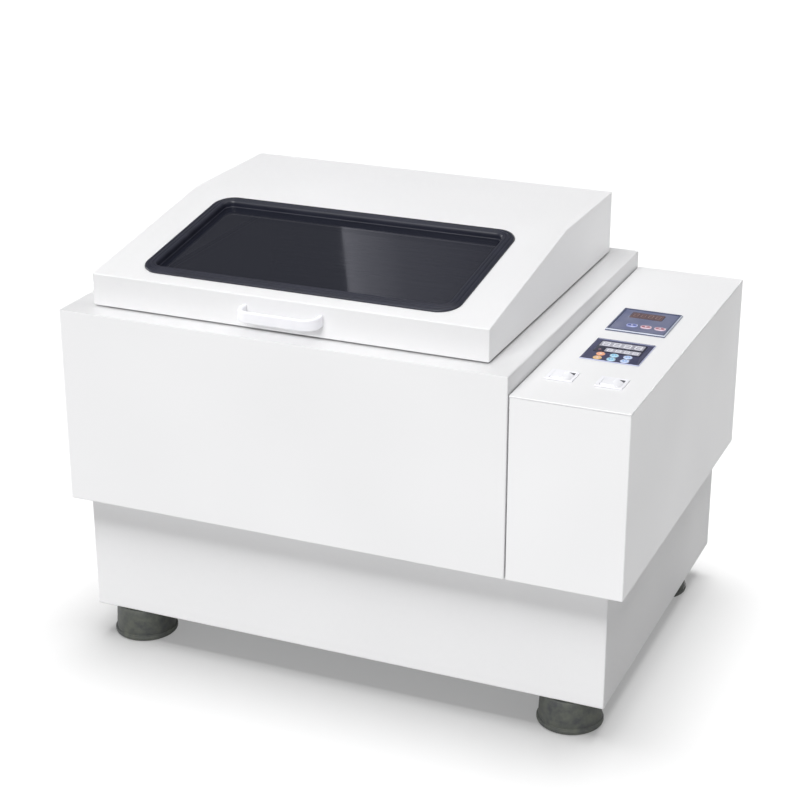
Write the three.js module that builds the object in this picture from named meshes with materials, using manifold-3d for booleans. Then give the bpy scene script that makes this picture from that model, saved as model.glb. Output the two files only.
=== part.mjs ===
// An incubated benchtop shaker: a heated chamber under a windowed lid, a flask tray that a belt-driven
// crank moves in a small circle, and a control box at the right side, on a plinth with four rubber feet.
import * as THREE from "three";
import { mergeVertices } from "three/addons/utils/BufferGeometryUtils.js";
import Module from "manifold-3d";

const wasm = await Module();
wasm.setup();

// Driving dimensions in millimetres. The machine stands on Z = 0, faces -Y and has its controls at +X.
const bodyWidth = 700;
const bodyDepth = 490;
const controlWidth = 136.5;
const undersideHeight = 187;
const cabinetTopHeight = 430;
const controlDrop = 21;
const standHeight = 40;

// Sheet metal and the clearances that every assembly shares.
const sheet = 1.5;
const seatGap = 0.3;
const runGap = 0.5;
const seam = 1.5;
const overrun = 1;
const roundSides = 20;
const smallSides = 12;
const hexSides = 6;
const cornerSteps = 2;

// Base: the plinth, its floor plate and the feet.
const plinthInsetX = 20;
const plinthInsetY = 14;
const plinthFlange = 15;
const floorThickness = 3;
const footRadius = 39;
const footLipHeight = 6;
const footGrooveDepth = 2;
const footTopRadius = 35;
const footInsetX = 49;
const footInsetFront = 32;
const footInsetRear = 70;
const footNeckRadius = 16;
const footStudRadius = 4;
const footStudLength = 10;
const footSides = 18;
const footDomeShares = [0.1, 0.55, 0.85, 1];

// Lid and window.
const lidInsetSide = 32;
const lidInsetFront = 27;
const lidInsetRear = 23;
const lidGap = 2;
const lidLip = 39;
const lidHeight = 79;
const lidSlopeRun = 259;
const lidLinerInset = 14;
const lidLinerSheet = 1;
const sealRise = 5;
const lidLinerBack = 20;
const gasketInsetSide = 49;
const gasketInsetTop = 24;
const gasketRise = 20;
const gasketCorner = 26;
const gasketBand = 15;
const gasketLap = 8;
const gasketCrest = 4;
const gasketUnderLap = 4;
const gasketUnderLip = 3;
const paneThickness = 4;
const paneDepth = 5;
const paneBite = 4;

// Lid handle: an upright strap bent into a bow.
const handleWidth = 101;
const handleHeight = 14;
const handleReach = 26;
const handleStrap = 5;
const handleCorner = 18;
const handleRise = 21;
const handleEdge = 1.2;
const handleArcSteps = 3;

// Piano hinge along the lid's rear edge.
const hingeInset = 24;
const hingeKnuckles = 9;
const knuckleRadius = 3.5;
const hingePinRadius = 1.5;
const hingeLeafThickness = 1.2;
const hingeLeafReach = 14;
const knuckleGap = 0.5;
const hingeSides = 12;

// Chamber: the liner, its insulation, the mouth seal and the air duct at the right.
const mouthInset = 26;
const linerSheet = 1;
const linerFlange = 10;
const floorInsulation = 25;
const sealGap = 2;
const sealWidth = 9;
const sealCorner = 14;
const ductDepth = 60;
const ductSheet = 1.2;
const ductDrop = 6;
const ductSlotCount = 9;
const ductSlotWidth = 6;
const ductSlotHeight = 30;
const ductSlotRise = 14;
const grilleRadius = 52;
const grilleSlots = 7;
const grilleSlotHeight = 6;
const shaftHoleGap = 5;

// Fan, heater and temperature probe.
const fanRaise = 10;
const fanRadius = 50;
const fanHubRadius = 16;
const fanHubLength = 22;
const fanBlades = 5;
const fanBladeThickness = 2;
const fanBladeWidth = 26;
const fanBladeRoot = 3;
const fanBladePitch = (35 * Math.PI) / 180;
const fanWallGap = 8;
const fanShaftRadius = 4;
const fanShaftGrip = 14;
const fanMotorRadius = 32;
const fanMotorLength = 40;
const fanMotorFlange = 3;
const fanMotorFlangeRadius = 38;
const fanPocketGap = 4;
const heaterRadius = 4;
const heaterInset = 44;
const heaterFoot = 26;
const heaterHeadroom = 26;
const heaterBend = 16;
const heaterTail = 18;
const heaterWallOffset = 40;
const heaterSteps = 30;
const heaterArcSteps = 4;
const probeRadius = 2.5;
const probeReach = 30;
const probeTail = 12;
const probeGlandRadius = 7;
const probeGlandLength = 6;
const probeRise = 85;
const probeFromFront = 70;

// Drive: a motor and belt in the plinth, a main crank and two idler cranks under the tray.
const orbitRadius = 10;
const crankShare = 0.25;
const beltSpan = 200;
const drivenPitchRadius = 60;
const motorPitchRadius = 20;
const beltThickness = 3;
const beltWidth = 12;
const beltSideGap = 0.4;
const beltArcSteps = 12;
const pulleyFlange = 1.5;
const pulleyFlangeRise = 4;
const beltLift = 86;
const shaftRadius = 12.5;
const motorRadius = 42;
const motorHeight = 66;
const motorPlateSide = 96;
const motorPlateThickness = 6;
const motorPlateCorner = 8;
const motorBossRadius = 15;
const motorBossHeight = 5;
const motorShaftRadius = 6;
const motorShaftGrip = 16;
const housingFlangeRadius = 50;
const housingFlangeHeight = 8;
const housingRadius = 24;
const housingRibs = 4;
const housingRibThickness = 6;
const housingRibReach = 18;
const housingRibHeight = 45;
const shaftFloorGap = 4;
const counterweightRadius = 56;
const counterweightHeight = 14;
const counterweightHubRadius = 22;
const crankDiscRadius = 26;
const crankDiscHeight = 10;
const crankLift = 10;
const crankPinRadius = 8;
const pinEndGap = 2;
const idlerInset = 35;
const idlerShare = 1 / 3;
const idlerFlangeRadius = 24;
const idlerFlangeHeight = 4;
const idlerHousingRadius = 12;
const idlerShaftRadius = 6;
const idlerDiscRadius = 19;
const idlerDiscHeight = 5;

// Tray, its carrier and the flask clamps.
const trayMargin = 11;
const trayThickness = 2;
const trayRimHeight = 22;
const trayRimThickness = 1.5;
const trayCorner = 16;
const trayHolesAcross = 4;
const trayHoleInset = 60;
const trayHoleRadius = 4;
const carrierInsetX = 27;
const carrierInsetY = 53;
const carrierCorner = 20;
const carrierThickness = 4;
const carrierHubHeight = 18;
const carrierHubRadius = 17;
const carrierBossRadius = 13;
const carrierWindowInset = 34;
const carrierWindowCorner = 14;
const clampDrawX = 11;
const clampDrawY = 11.5;
const clampBaseRadius = 42;
const clampThickness = 1.2;
const clampFingerWidth = 14;
const clampFingers = 4;
const clampHeight = 62;
const clampFingerRiseShares = [0, 0.22, 0.66, 0.86, 1];
const clampFingerRadiusShares = [0.93, 0.96, 0.74, 0.7, 0.82];

// Control box and panel.
const panelThickness = 2;
const boxFlange = 8;
const moduleBodyMargin = 3;
const moduleCutoutGap = 0.6;
const temperatureModule = { width: 72, length: 80, fromFront: 280, proud: 2.6, depth: 62, rim: 3, dish: 1 };
const speedModule = { width: 70, length: 71, fromFront: 174, proud: 1.2, depth: 58, rim: 2, dish: 0.6 };
const windowDepth = 3;
const windowProud = 0.4;
const windowCorner = 1.5;
const temperatureWindow = { width: 40, length: 19, offsetX: -2, offsetY: 20 };
const speedWindow = { width: 55, length: 36, offsetX: 0, offsetY: 10.5 };
const ovalKey = { length: 14, width: 9.5, pitch: 17, offsetX: 7, offsetY: -17, proud: 1 };
const roundKey = { radius: 5.2, pitchX: 16, pitchY: 12.8, offsetY: -14, proud: 0.8 };
const keyTravel = 1;
const keySkirt = 3;
const keyCrown = 0.5;
const keySteps = 3;

// Rocker switches.
const switchWidth = 32;
const switchLength = 30;
const switchFromFront = 77;
const switchSpacing = 57;
const switchOffset = -5.5;
const switchProud = 2;
const switchRim = 3.5;
const switchWall = 2;
const switchDepth = 24;
const switchWellDepth = 15;
const rockerTilt = (14 * Math.PI) / 180;
const rockerCrown = (14 * Math.PI) / 180;
const rockerPivotDepth = 5;
const rockerRise = 1.5;
const rockerSwing = 0.9;
const rockerFoot = 7;
const rockerFootDepth = 6;

// Rear of the control box: vent slots and the power inlet.
const ventSlots = 7;
const ventSlotWidth = 70;
const ventSlotHeight = 5;
const ventPitch = 13;
const ventDrop = 40;
const inletWidth = 50;
const inletHeight = 30;
const inletProud = 2.4;
const inletBodyMargin = 4;
const inletBodyDepth = 26;
const inletSocketMargin = 5;
const inletSocketDepth = 17;
const inletRise = 40;
const inletPinWidth = 2;
const inletPinHeight = 4;
const inletPinLength = 12;
const inletPinSpread = 7;
const inletPinLift = 3;

// The faces that the assemblies share, in the machine's own frame.
const controlTopHeight = cabinetTopHeight - controlDrop;
const bodyLeft = -bodyWidth / 2;
const bodyRight = bodyWidth / 2;
const bodyFront = -(bodyDepth + inletProud) / 2;
const bodyBack = bodyFront + bodyDepth;
const controlLeft = bodyRight - controlWidth;
const cabinetRight = controlLeft - seam;
const lidWidth = cabinetRight - bodyLeft - 2 * lidInsetSide;
const lidDepth = bodyDepth - lidInsetFront - lidInsetRear;

const span = (left, right, front, back) => ({ left, right, front, back });
const grow = (area, by) => span(area.left - by, area.right + by, area.front - by, area.back + by);

const cabinet = span(bodyLeft, cabinetRight, bodyFront, bodyBack);
const control = span(controlLeft, bodyRight, bodyFront, bodyBack);
const plinth = span(
  bodyLeft + plinthInsetX,
  bodyRight - plinthInsetX,
  bodyFront + plinthInsetY,
  bodyBack - plinthInsetY,
);
const lidCentreX = (cabinet.left + cabinet.right) / 2;
const lidFront = bodyFront + lidInsetFront;
const lidBack = lidFront + lidDepth;
const lidBottom = cabinetTopHeight + lidGap;
const lidArea = span(lidCentreX - lidWidth / 2, lidCentreX + lidWidth / 2, lidFront, lidBack);
const chamber = grow(lidArea, -mouthInset);
const linerFloor = undersideHeight + sheet + floorInsulation + linerSheet;
const ductFace = chamber.right - ductDepth;
const floorBottom = standHeight + sheet + seatGap;
const floorTop = floorBottom + floorThickness;
const trayCentreX = (chamber.left + ductFace) / 2;
const trayCentreY = (chamber.front + chamber.back) / 2;
const trayWidth = ductFace - chamber.left - 2 * (orbitRadius + trayMargin);
const trayLength = chamber.back - chamber.front - 2 * (orbitRadius + trayMargin);
const carrierWidth = trayWidth - 2 * carrierInsetX;
const carrierLength = trayLength - 2 * carrierInsetY;
const crankX = trayCentreX;
const crankY = trayCentreY - carrierLength * crankShare;
const crankTop = linerFloor + crankLift + crankDiscHeight;
const carrierBottom = crankTop + runGap;
const carrierTop = carrierBottom + carrierHubHeight;
const trayBottom = carrierTop + seatGap;
const fanY = trayCentreY;
const fanZ = (linerFloor + cabinetTopHeight) / 2 + fanRaise;

// Finishes.
const whitePaint = { color: "#f0f0ef", roughness: 0.42, metalness: 0 };
const panelPaint = { color: "#efefef", roughness: 0.45, metalness: 0 };
const blackRubber = { color: "#2b2d33", roughness: 0.6, metalness: 0 };
const greyRubber = { color: "#4a4c4a", roughness: 0.8, metalness: 0 };
const smokedGlass = { color: "#2f3238", roughness: 0.08, metalness: 0 };
const stainless = { color: "#c2c4c6", roughness: 0.3, metalness: 1 };
const machinedSteel = { color: "#a9abad", roughness: 0.35, metalness: 1 };
const castAluminium = { color: "#9fa2a5", roughness: 0.5, metalness: 1 };
const darkEnamel = { color: "#33363b", roughness: 0.5, metalness: 0 };
const mineralWool = { color: "#d8cf9f", roughness: 0.95, metalness: 0 };
const beltRubber = { color: "#1d1e20", roughness: 0.7, metalness: 0 };
const slatePlastic = { color: "#62697d", roughness: 0.4, metalness: 0 };
const navyPlastic = { color: "#34365a", roughness: 0.4, metalness: 0 };
const redLens = { color: "#5d3a3c", roughness: 0.2, metalness: 0 };
const greyLens = { color: "#c9c8d0", roughness: 0.3, metalness: 0 };
const whitePlastic = { color: "#f3f3f6", roughness: 0.35, metalness: 0 };
const blackPlastic = { color: "#1b1c1e", roughness: 0.45, metalness: 0 };
const blueKey = { color: "#8b96d8", roughness: 0.4, metalness: 0 };
const pinkKey = { color: "#e0a3ac", roughness: 0.4, metalness: 0 };
const orangeKey = { color: "#efa37c", roughness: 0.4, metalness: 0 };
const cyanKey = { color: "#8fd0ee", roughness: 0.4, metalness: 0 };

// A closed geometry as a solid that can be joined and cut.
function solidOf(geometry) {
  const bare = geometry.clone();
  bare.deleteAttribute("normal");
  bare.deleteAttribute("uv");
  const merged = mergeVertices(bare);
  const vertProperties = merged.attributes.position.array;
  const triVerts = new Uint32Array(merged.index.array);
  return new wasm.Manifold(new wasm.Mesh({ numProp: 3, vertProperties, triVerts }));
}

// A solid as a named mesh in a group.
function addPiece(group, name, solid, finish) {
  const mesh = solid.getMesh();
  const geometry = new THREE.BufferGeometry();
  geometry.setAttribute("position", new THREE.Float32BufferAttribute(mesh.vertProperties, 3));
  geometry.setIndex(new THREE.BufferAttribute(mesh.triVerts, 1));
  geometry.computeVertexNormals();
  const piece = new THREE.Mesh(geometry, new THREE.MeshStandardMaterial({ ...finish }));
  piece.name = name;
  group.add(piece);
  return piece;
}

function addGroup(parent, x, y, z) {
  const group = new THREE.Group();
  group.position.set(x, y, z);
  parent.add(group);
  return group;
}

function block(area, bottom, top) {
  const width = area.right - area.left;
  const length = area.back - area.front;
  const geometry = new THREE.BoxGeometry(width, length, top - bottom);
  geometry.translate(area.left + width / 2, area.front + length / 2, (bottom + top) / 2);
  return solidOf(geometry);
}

// A straight-sided slab over an outline in the XY plane.
function slab(outline, bottom, top) {
  const options = { depth: top - bottom, bevelEnabled: false, curveSegments: cornerSteps };
  return solidOf(new THREE.ExtrudeGeometry(outline, options).translate(0, 0, bottom));
}

// An outline drawn in Y and Z, run along X.
function runAlongX(outline, left, right) {
  const geometry = new THREE.ExtrudeGeometry(outline, { depth: right - left, bevelEnabled: false });
  const turn = new THREE.Matrix4().makeBasis(
    new THREE.Vector3(0, 1, 0),
    new THREE.Vector3(0, 0, 1),
    new THREE.Vector3(1, 0, 0),
  );
  return solidOf(geometry.applyMatrix4(turn).translate(left, 0, 0));
}

// An outline drawn in X and Z, run along Y.
function runAlongY(outline, front, back) {
  const geometry = new THREE.ExtrudeGeometry(outline, { depth: back - front, bevelEnabled: false });
  return solidOf(geometry.rotateX(Math.PI / 2).translate(0, back, 0));
}

function rod(radius, bottom, top, x = 0, y = 0, sides = roundSides) {
  const geometry = new THREE.CylinderGeometry(radius, radius, top - bottom, sides);
  return solidOf(geometry.rotateX(Math.PI / 2).translate(x, y, (bottom + top) / 2));
}

function rodAlongX(radius, left, right, y = 0, z = 0, sides = roundSides) {
  const geometry = new THREE.CylinderGeometry(radius, radius, right - left, sides);
  return solidOf(geometry.rotateZ(Math.PI / 2).translate((left + right) / 2, y, z));
}

function roundedOutline(area, radius) {
  const { left, right, front, back } = area;
  const outline = new THREE.Shape();
  outline.moveTo(left + radius, front);
  outline.lineTo(right - radius, front);
  outline.absarc(right - radius, front + radius, radius, -Math.PI / 2, 0, false);
  outline.lineTo(right, back - radius);
  outline.absarc(right - radius, back - radius, radius, 0, Math.PI / 2, false);
  outline.lineTo(left + radius, back);
  outline.absarc(left + radius, back - radius, radius, Math.PI / 2, Math.PI, false);
  outline.lineTo(left, front + radius);
  outline.absarc(left + radius, front + radius, radius, Math.PI, Math.PI * 1.5, false);
  return outline;
}

const roundedSlab = (area, radius, bottom, top) => slab(roundedOutline(area, radius), bottom, top);
const centred = (width, length, x = 0, y = 0) =>
  span(x - width / 2, x + width / 2, y - length / 2, y + length / 2);
const outlineOf = (points) => new THREE.Shape(points.map(([x, y]) => new THREE.Vector2(x, y)));

const shaker = new THREE.Group();
const machine = addGroup(shaker, 0, 0, 0);

// Plinth: four walls with folded-in flanges at the top and bottom.
function addPlinth() {
  const top = undersideHeight - seatGap;
  const walls = block(plinth, standHeight, top)
    .subtract(block(grow(plinth, -sheet), standHeight + sheet, top - sheet))
    .subtract(block(grow(plinth, -plinthFlange), standHeight - overrun, top + overrun));
  addPiece(machine, "base_plinth", walls, whitePaint);
}

const footPlaces = {
  foot_front_left: [plinth.left + footInsetX, plinth.front + footInsetFront],
  foot_front_right: [plinth.right - footInsetX, plinth.front + footInsetFront],
  foot_rear_left: [plinth.left + footInsetX, plinth.back - footInsetRear],
  foot_rear_right: [plinth.right - footInsetX, plinth.back - footInsetRear],
};

// Floor plate: it lies on the plinth's lower flange and carries the motor, the bearing and the feet.
function addBaseFloor() {
  let plate = block(grow(plinth, -sheet - seatGap), floorBottom, floorTop);
  for (const [x, y] of Object.values(footPlaces)) {
    const hole = rod(footStudRadius + seatGap, floorBottom - overrun, floorTop + overrun, x, y, smallSides);
    plate = plate.subtract(hole);
  }
  addPiece(machine, "base_floor", plate, stainless);
}

// Feet: domed rubber with a lip at the bench and a threaded stud up through the floor plate.
function addFeet() {
  const shoulder = standHeight - seatGap;
  const top = floorBottom - seatGap;
  const waist = footRadius - footGrooveDepth;
  const rise = shoulder - footLipHeight;
  const dome = footDomeShares.map((share) => {
    const bulge = Math.sqrt(1 - share ** 2);
    return [footTopRadius + (waist - footTopRadius) * bulge, footLipHeight + rise * share];
  });
  const profile = [
    [0, 0],
    [footRadius - footGrooveDepth, 0],
    [footRadius, footGrooveDepth],
    [footRadius, footLipHeight],
    ...dome,
    [footNeckRadius, shoulder],
    [footNeckRadius, top],
    [footStudRadius, top],
    [footStudRadius, top + footStudLength],
    [0, top + footStudLength],
  ];
  const lathe = new THREE.LatheGeometry(
    profile.map(([x, y]) => new THREE.Vector2(x, y)),
    footSides,
  );
  const foot = solidOf(lathe.rotateX(Math.PI / 2));
  for (const [name, [x, y]] of Object.entries(footPlaces)) {
    addPiece(machine, name, foot, greyRubber).position.set(x, y, 0);
  }
}

// Cabinet: the outer box, open at the chamber's mouth and at the drive shaft.
const mouth = grow(chamber, linerSheet + seatGap);
const shaftHoleRadius = shaftRadius + shaftHoleGap;

function addCabinet() {
  const inside = grow(cabinet, -sheet);
  const shell = block(cabinet, undersideHeight, cabinetTopHeight)
    .subtract(block(inside, undersideHeight + sheet, cabinetTopHeight - sheet))
    .subtract(block(mouth, cabinetTopHeight - sheet - overrun, cabinetTopHeight + overrun))
    .subtract(
      rod(shaftHoleRadius, undersideHeight - overrun, undersideHeight + sheet + overrun, crankX, crankY),
    );
  addPiece(machine, "cabinet_shell", shell, whitePaint);
}

// Chamber liner: a stainless tub that hangs by its flange on the cabinet's deck.
const heaterX = chamber.right - heaterWallOffset;
const heaterZ = linerFloor + heaterFoot;
const heaterFeet = [chamber.front + heaterInset, chamber.back - heaterInset];
const flangeBottom = cabinetTopHeight + seatGap;
const flangeTop = flangeBottom + linerSheet;

function addLiner() {
  const outside = grow(chamber, linerSheet);
  let tub = block(outside, linerFloor - linerSheet, flangeTop)
    .add(block(grow(chamber, linerFlange), flangeBottom, flangeTop))
    .subtract(block(chamber, linerFloor, flangeTop + overrun))
    .subtract(
      rod(shaftHoleRadius, linerFloor - linerSheet - overrun, linerFloor + overrun, crankX, crankY),
    );
  const wallLeft = chamber.right - overrun;
  const wallRight = chamber.right + linerSheet + overrun;
  tub = tub.subtract(rodAlongX(fanShaftRadius + seatGap, wallLeft, wallRight, fanY, fanZ, smallSides));
  for (const y of heaterFeet) {
    tub = tub.subtract(rodAlongX(heaterRadius + seatGap, wallLeft, wallRight, y, heaterZ, smallSides));
  }
  addPiece(machine, "chamber_liner", tub, stainless);
}

// Insulation: mineral wool packed between the liner and the cabinet.
function addInsulation() {
  const top = cabinetTopHeight - sheet - seatGap;
  const tailRoom = heaterRadius + fanPocketGap;
  let wool = block(grow(cabinet, -sheet - seatGap), undersideHeight + sheet + seatGap, top)
    .subtract(block(grow(chamber, linerSheet + seatGap), linerFloor - linerSheet - seatGap, top + overrun))
    .subtract(rod(shaftHoleRadius, undersideHeight, linerFloor, crankX, crankY));
  const pocketLeft = chamber.right;
  const pocketRight = cabinet.right;
  const pocketRadius = fanMotorFlangeRadius + fanPocketGap;
  wool = wool.subtract(rodAlongX(pocketRadius, pocketLeft, pocketRight, fanY, fanZ));
  for (const y of heaterFeet) {
    wool = wool.subtract(rodAlongX(tailRoom, pocketLeft, pocketRight, y, heaterZ, smallSides));
  }
  addPiece(machine, "chamber_insulation", wool, mineralWool);
}

// Mouth seal: a rubber ring on the deck that the lid's liner rests on.
function addMouthSeal() {
  const inner = grow(chamber, linerFlange + sealGap);
  const top = lidBottom + sealRise - seatGap;
  const bottom = cabinetTopHeight + seatGap;
  const ring = roundedSlab(grow(inner, sealWidth), sealCorner, bottom, top).subtract(
    roundedSlab(inner, sealCorner - sealWidth, bottom - overrun, top + overrun),
  );
  addPiece(machine, "mouth_seal", ring, blackRubber);
}

// Air duct cover: it screens the fan and heater from the flasks, with an inlet grille and outlet slots.
function addDuctCover() {
  const front = chamber.front + seatGap;
  const back = chamber.back - seatGap;
  const bottom = linerFloor + seatGap;
  const top = cabinetTopHeight - ductDrop;
  let cover = block(span(ductFace, ductFace + ductSheet, front, back), bottom, top).add(
    block(span(ductFace, chamber.right - seatGap, front, back), top - ductSheet, top),
  );
  const through = (slotFront, slotBack, low, high) =>
    block(span(ductFace - overrun, ductFace + ductSheet + overrun, slotFront, slotBack), low, high);
  const slotPitch = (back - front) / ductSlotCount;
  for (let slot = 0; slot < ductSlotCount; slot++) {
    const y = front + slotPitch * (slot + 0.5);
    const low = linerFloor + ductSlotRise;
    cover = cover.subtract(
      through(y - ductSlotWidth / 2, y + ductSlotWidth / 2, low, low + ductSlotHeight),
    );
  }
  const grillePitch = (2 * grilleRadius) / grilleSlots;
  for (let slot = 0; slot < grilleSlots; slot++) {
    const rise = -grilleRadius + grillePitch * (slot + 0.5);
    const half = Math.sqrt(grilleRadius ** 2 - rise ** 2);
    const low = fanZ + rise - grilleSlotHeight / 2;
    cover = cover.subtract(through(fanY - half, fanY + half, low, low + grilleSlotHeight));
  }
  const probeHole = rodAlongX(
    probeRadius + seatGap,
    ductFace - overrun,
    ductFace + ductSheet + overrun,
    chamber.front + probeFromFront,
    linerFloor + probeRise,
    smallSides,
  );
  addPiece(machine, "air_duct_cover", cover.subtract(probeHole), stainless);
}

// Fan wheel on its shaft, and the motor behind the liner's wall. Both are drawn along Z and laid over.
function addFan() {
  const fan = addGroup(machine, chamber.right, fanY, fanZ);
  fan.rotation.y = Math.PI / 2;
  const hubTop = -fanWallGap;
  const hubBottom = hubTop - fanHubLength;
  let wheel = rod(fanHubRadius, hubBottom, hubTop).add(
    rod(fanShaftRadius, hubTop - overrun, linerSheet + seatGap + fanShaftGrip, 0, 0, smallSides),
  );
  for (let blade = 0; blade < fanBlades; blade++) {
    const length = fanRadius - fanHubRadius + fanBladeRoot;
    const geometry = new THREE.BoxGeometry(length, fanBladeWidth, fanBladeThickness);
    geometry.rotateX(fanBladePitch);
    geometry.translate(fanRadius - length / 2, 0, (hubBottom + hubTop) / 2);
    geometry.rotateZ((2 * Math.PI * blade) / fanBlades);
    wheel = wheel.add(solidOf(geometry));
  }
  addPiece(fan, "fan_wheel", wheel, castAluminium);
  const base = linerSheet + seatGap;
  const motor = rod(fanMotorRadius, base, base + fanMotorLength)
    .add(rod(fanMotorFlangeRadius, base, base + fanMotorFlange))
    .subtract(
      rod(fanShaftRadius + seatGap, base - overrun, base + fanShaftGrip + overrun, 0, 0, smallSides),
    );
  addPiece(fan, "fan_motor", motor, darkEnamel);
}

// Heater: a tube bent into an arch round the fan, with both ends out through the liner's wall.
function addHeater() {
  const [front, back] = heaterFeet;
  const top = cabinetTopHeight - ductDrop - heaterHeadroom;
  const end = chamber.right + linerSheet + heaterTail;
  const corners = [
    [end, front, heaterZ],
    [heaterX, front, heaterZ],
    [heaterX, front, top],
    [heaterX, back, top],
    [heaterX, back, heaterZ],
    [end, back, heaterZ],
  ].map((place) => new THREE.Vector3(...place));
  const route = new THREE.CurvePath();
  let from = corners[0];
  for (let i = 1; i < corners.length - 1; i++) {
    const toward = corners[i - 1].clone().sub(corners[i]).setLength(heaterBend).add(corners[i]);
    const away = corners[i + 1].clone().sub(corners[i]).setLength(heaterBend).add(corners[i]);
    route.add(new THREE.LineCurve3(from, toward));
    route.add(new THREE.QuadraticBezierCurve3(toward, corners[i], away));
    from = away;
  }
  route.add(new THREE.LineCurve3(from, corners[corners.length - 1]));
  const section = new THREE.Shape().absarc(0, 0, heaterRadius, 0, 2 * Math.PI, false);
  const tube = new THREE.ExtrudeGeometry(section, {
    steps: heaterSteps,
    curveSegments: heaterArcSteps,
    extrudePath: route,
  });
  addPiece(machine, "heater_tube", solidOf(tube), stainless);
}

// Temperature probe: a rod through the duct cover, held by a six-sided gland.
function addProbe() {
  const x = ductFace - seatGap;
  const gland = rodAlongX(probeGlandRadius, x - probeGlandLength, x, 0, 0, hexSides);
  const stem = rodAlongX(probeRadius, x - probeReach, x + probeTail, 0, 0, smallSides);
  const probe = addPiece(machine, "temperature_probe", gland.add(stem), machinedSteel);
  probe.position.set(0, chamber.front + probeFromFront, linerFloor + probeRise);
}

// Drive levels, from the floor plate up.
const beltZ = floorTop + beltLift;
const pulleyHalf = beltWidth / 2 + beltSideGap + pulleyFlange;
const housingTop = beltZ - pulleyHalf - runGap;

function pulley(pitchRadius, boreRadius) {
  const grip = pitchRadius - beltThickness / 2 - seatGap;
  const rim = grip + pulleyFlangeRise;
  const wheel = rod(grip, -pulleyHalf, pulleyHalf)
    .add(rod(rim, -pulleyHalf, pulleyFlange - pulleyHalf))
    .add(rod(rim, pulleyHalf - pulleyFlange, pulleyHalf));
  return boreRadius ? wheel.subtract(rod(boreRadius, -pulleyHalf - overrun, pulleyHalf + overrun)) : wheel;
}

// Drive motor: it stands on the floor plate with its shaft up.
function addMotor() {
  const motor = addGroup(machine, crankX + beltSpan, crankY, floorTop + seatGap);
  const top = motorPlateThickness + motorHeight;
  const bossTop = top + motorBossHeight;
  const body = roundedSlab(centred(motorPlateSide, motorPlateSide), motorPlateCorner, 0, motorPlateThickness)
    .add(rod(motorRadius, 0, top))
    .add(rod(motorBossRadius, 0, bossTop))
    .subtract(rod(motorShaftRadius + seatGap, top - motorShaftGrip, bossTop + overrun, 0, 0, smallSides));
  addPiece(motor, "drive_motor", body, darkEnamel);
  const shaftBottom = floorTop + seatGap + top - motorShaftGrip + pinEndGap - beltZ;
  const wheel = pulley(motorPitchRadius, 0).add(rod(motorShaftRadius, shaftBottom, 0, 0, 0, smallSides));
  addPiece(machine, "motor_pulley", wheel, machinedSteel).position.set(crankX + beltSpan, crankY, beltZ);
}

// Belt: an open loop round both pulleys, tangent to each.
function beltOutline(shift) {
  const large = drivenPitchRadius + shift;
  const small = motorPitchRadius + shift;
  const lean = Math.acos((large - small) / beltSpan);
  const outline = new THREE.Shape();
  outline.absarc(0, 0, large, lean, 2 * Math.PI - lean, false);
  outline.absarc(beltSpan, 0, small, -lean, lean, false);
  outline.closePath();
  return outline;
}

function addBelt() {
  const ring = (shift, half) => {
    const options = { depth: 2 * half, bevelEnabled: false, curveSegments: beltArcSteps };
    return solidOf(new THREE.ExtrudeGeometry(beltOutline(shift), options).translate(0, 0, -half));
  };
  const loop = ring(beltThickness / 2, beltWidth / 2).subtract(
    ring(-beltThickness / 2, beltWidth / 2 + overrun),
  );
  addPiece(machine, "drive_belt", loop, beltRubber).position.set(crankX, crankY, beltZ);
}

// Bearing housing: a ribbed pillar that holds the crank shaft upright.
function addBearingHousing() {
  const height = housingTop - floorTop - seatGap;
  let pillar = rod(housingFlangeRadius, 0, housingFlangeHeight).add(rod(housingRadius, 0, height));
  const rib = outlineOf([
    [0, 0],
    [housingRadius + housingRibReach, 0],
    [housingRadius + housingRibReach, housingFlangeHeight],
    [housingRadius, housingRibHeight],
    [0, housingRibHeight],
  ]);
  for (let i = 0; i < housingRibs; i++) {
    const web = runAlongY(rib, -housingRibThickness / 2, housingRibThickness / 2);
    pillar = pillar.add(web.rotate([0, 0, (360 * i) / housingRibs]));
  }
  pillar = pillar.subtract(rod(shaftRadius + seatGap, -overrun, height + overrun));
  const housing = addPiece(machine, "drive_bearing_housing", pillar, castAluminium);
  housing.position.set(crankX, crankY, floorTop + seatGap);
}

// Crank: the upright shaft with its disc and off-centre pin, the driven pulley and the counterweight.
function addCrank() {
  const crank = addGroup(machine, crankX, crankY, 0);
  const pinTop = carrierTop - carrierThickness - pinEndGap;
  const shaft = rod(shaftRadius, floorTop + shaftFloorGap, crankTop)
    .add(rod(crankDiscRadius, crankTop - crankDiscHeight, crankTop))
    .add(rod(crankPinRadius, crankTop - overrun, pinTop, orbitRadius, 0));
  addPiece(crank, "crank_shaft", shaft, machinedSteel);
  const wheel = addPiece(
    crank,
    "driven_pulley",
    pulley(drivenPitchRadius, shaftRadius + seatGap),
    castAluminium,
  );
  wheel.position.z = beltZ;
  const sector = new THREE.Shape();
  sector.absarc(0, 0, counterweightRadius, Math.PI / 2, Math.PI * 1.5, false);
  sector.closePath();
  const bottom = beltZ + pulleyHalf + seatGap;
  const top = bottom + counterweightHeight;
  const weight = solidOf(
    new THREE.ExtrudeGeometry(sector, {
      depth: counterweightHeight,
      bevelEnabled: false,
      curveSegments: beltArcSteps,
    }).translate(0, 0, bottom),
  )
    .add(rod(counterweightHubRadius, bottom, top))
    .subtract(rod(shaftRadius + seatGap, bottom - overrun, top + overrun));
  addPiece(crank, "counterweight", weight, darkEnamel);
}

// Idler cranks: two small cranks on the chamber floor that keep the tray from turning.
const idlerSpread = carrierWidth / 2 - idlerInset;
const idlerPlaces = { left: crankX - idlerSpread, right: crankX + idlerSpread };
const idlerY = trayCentreY + carrierLength * idlerShare;

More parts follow.
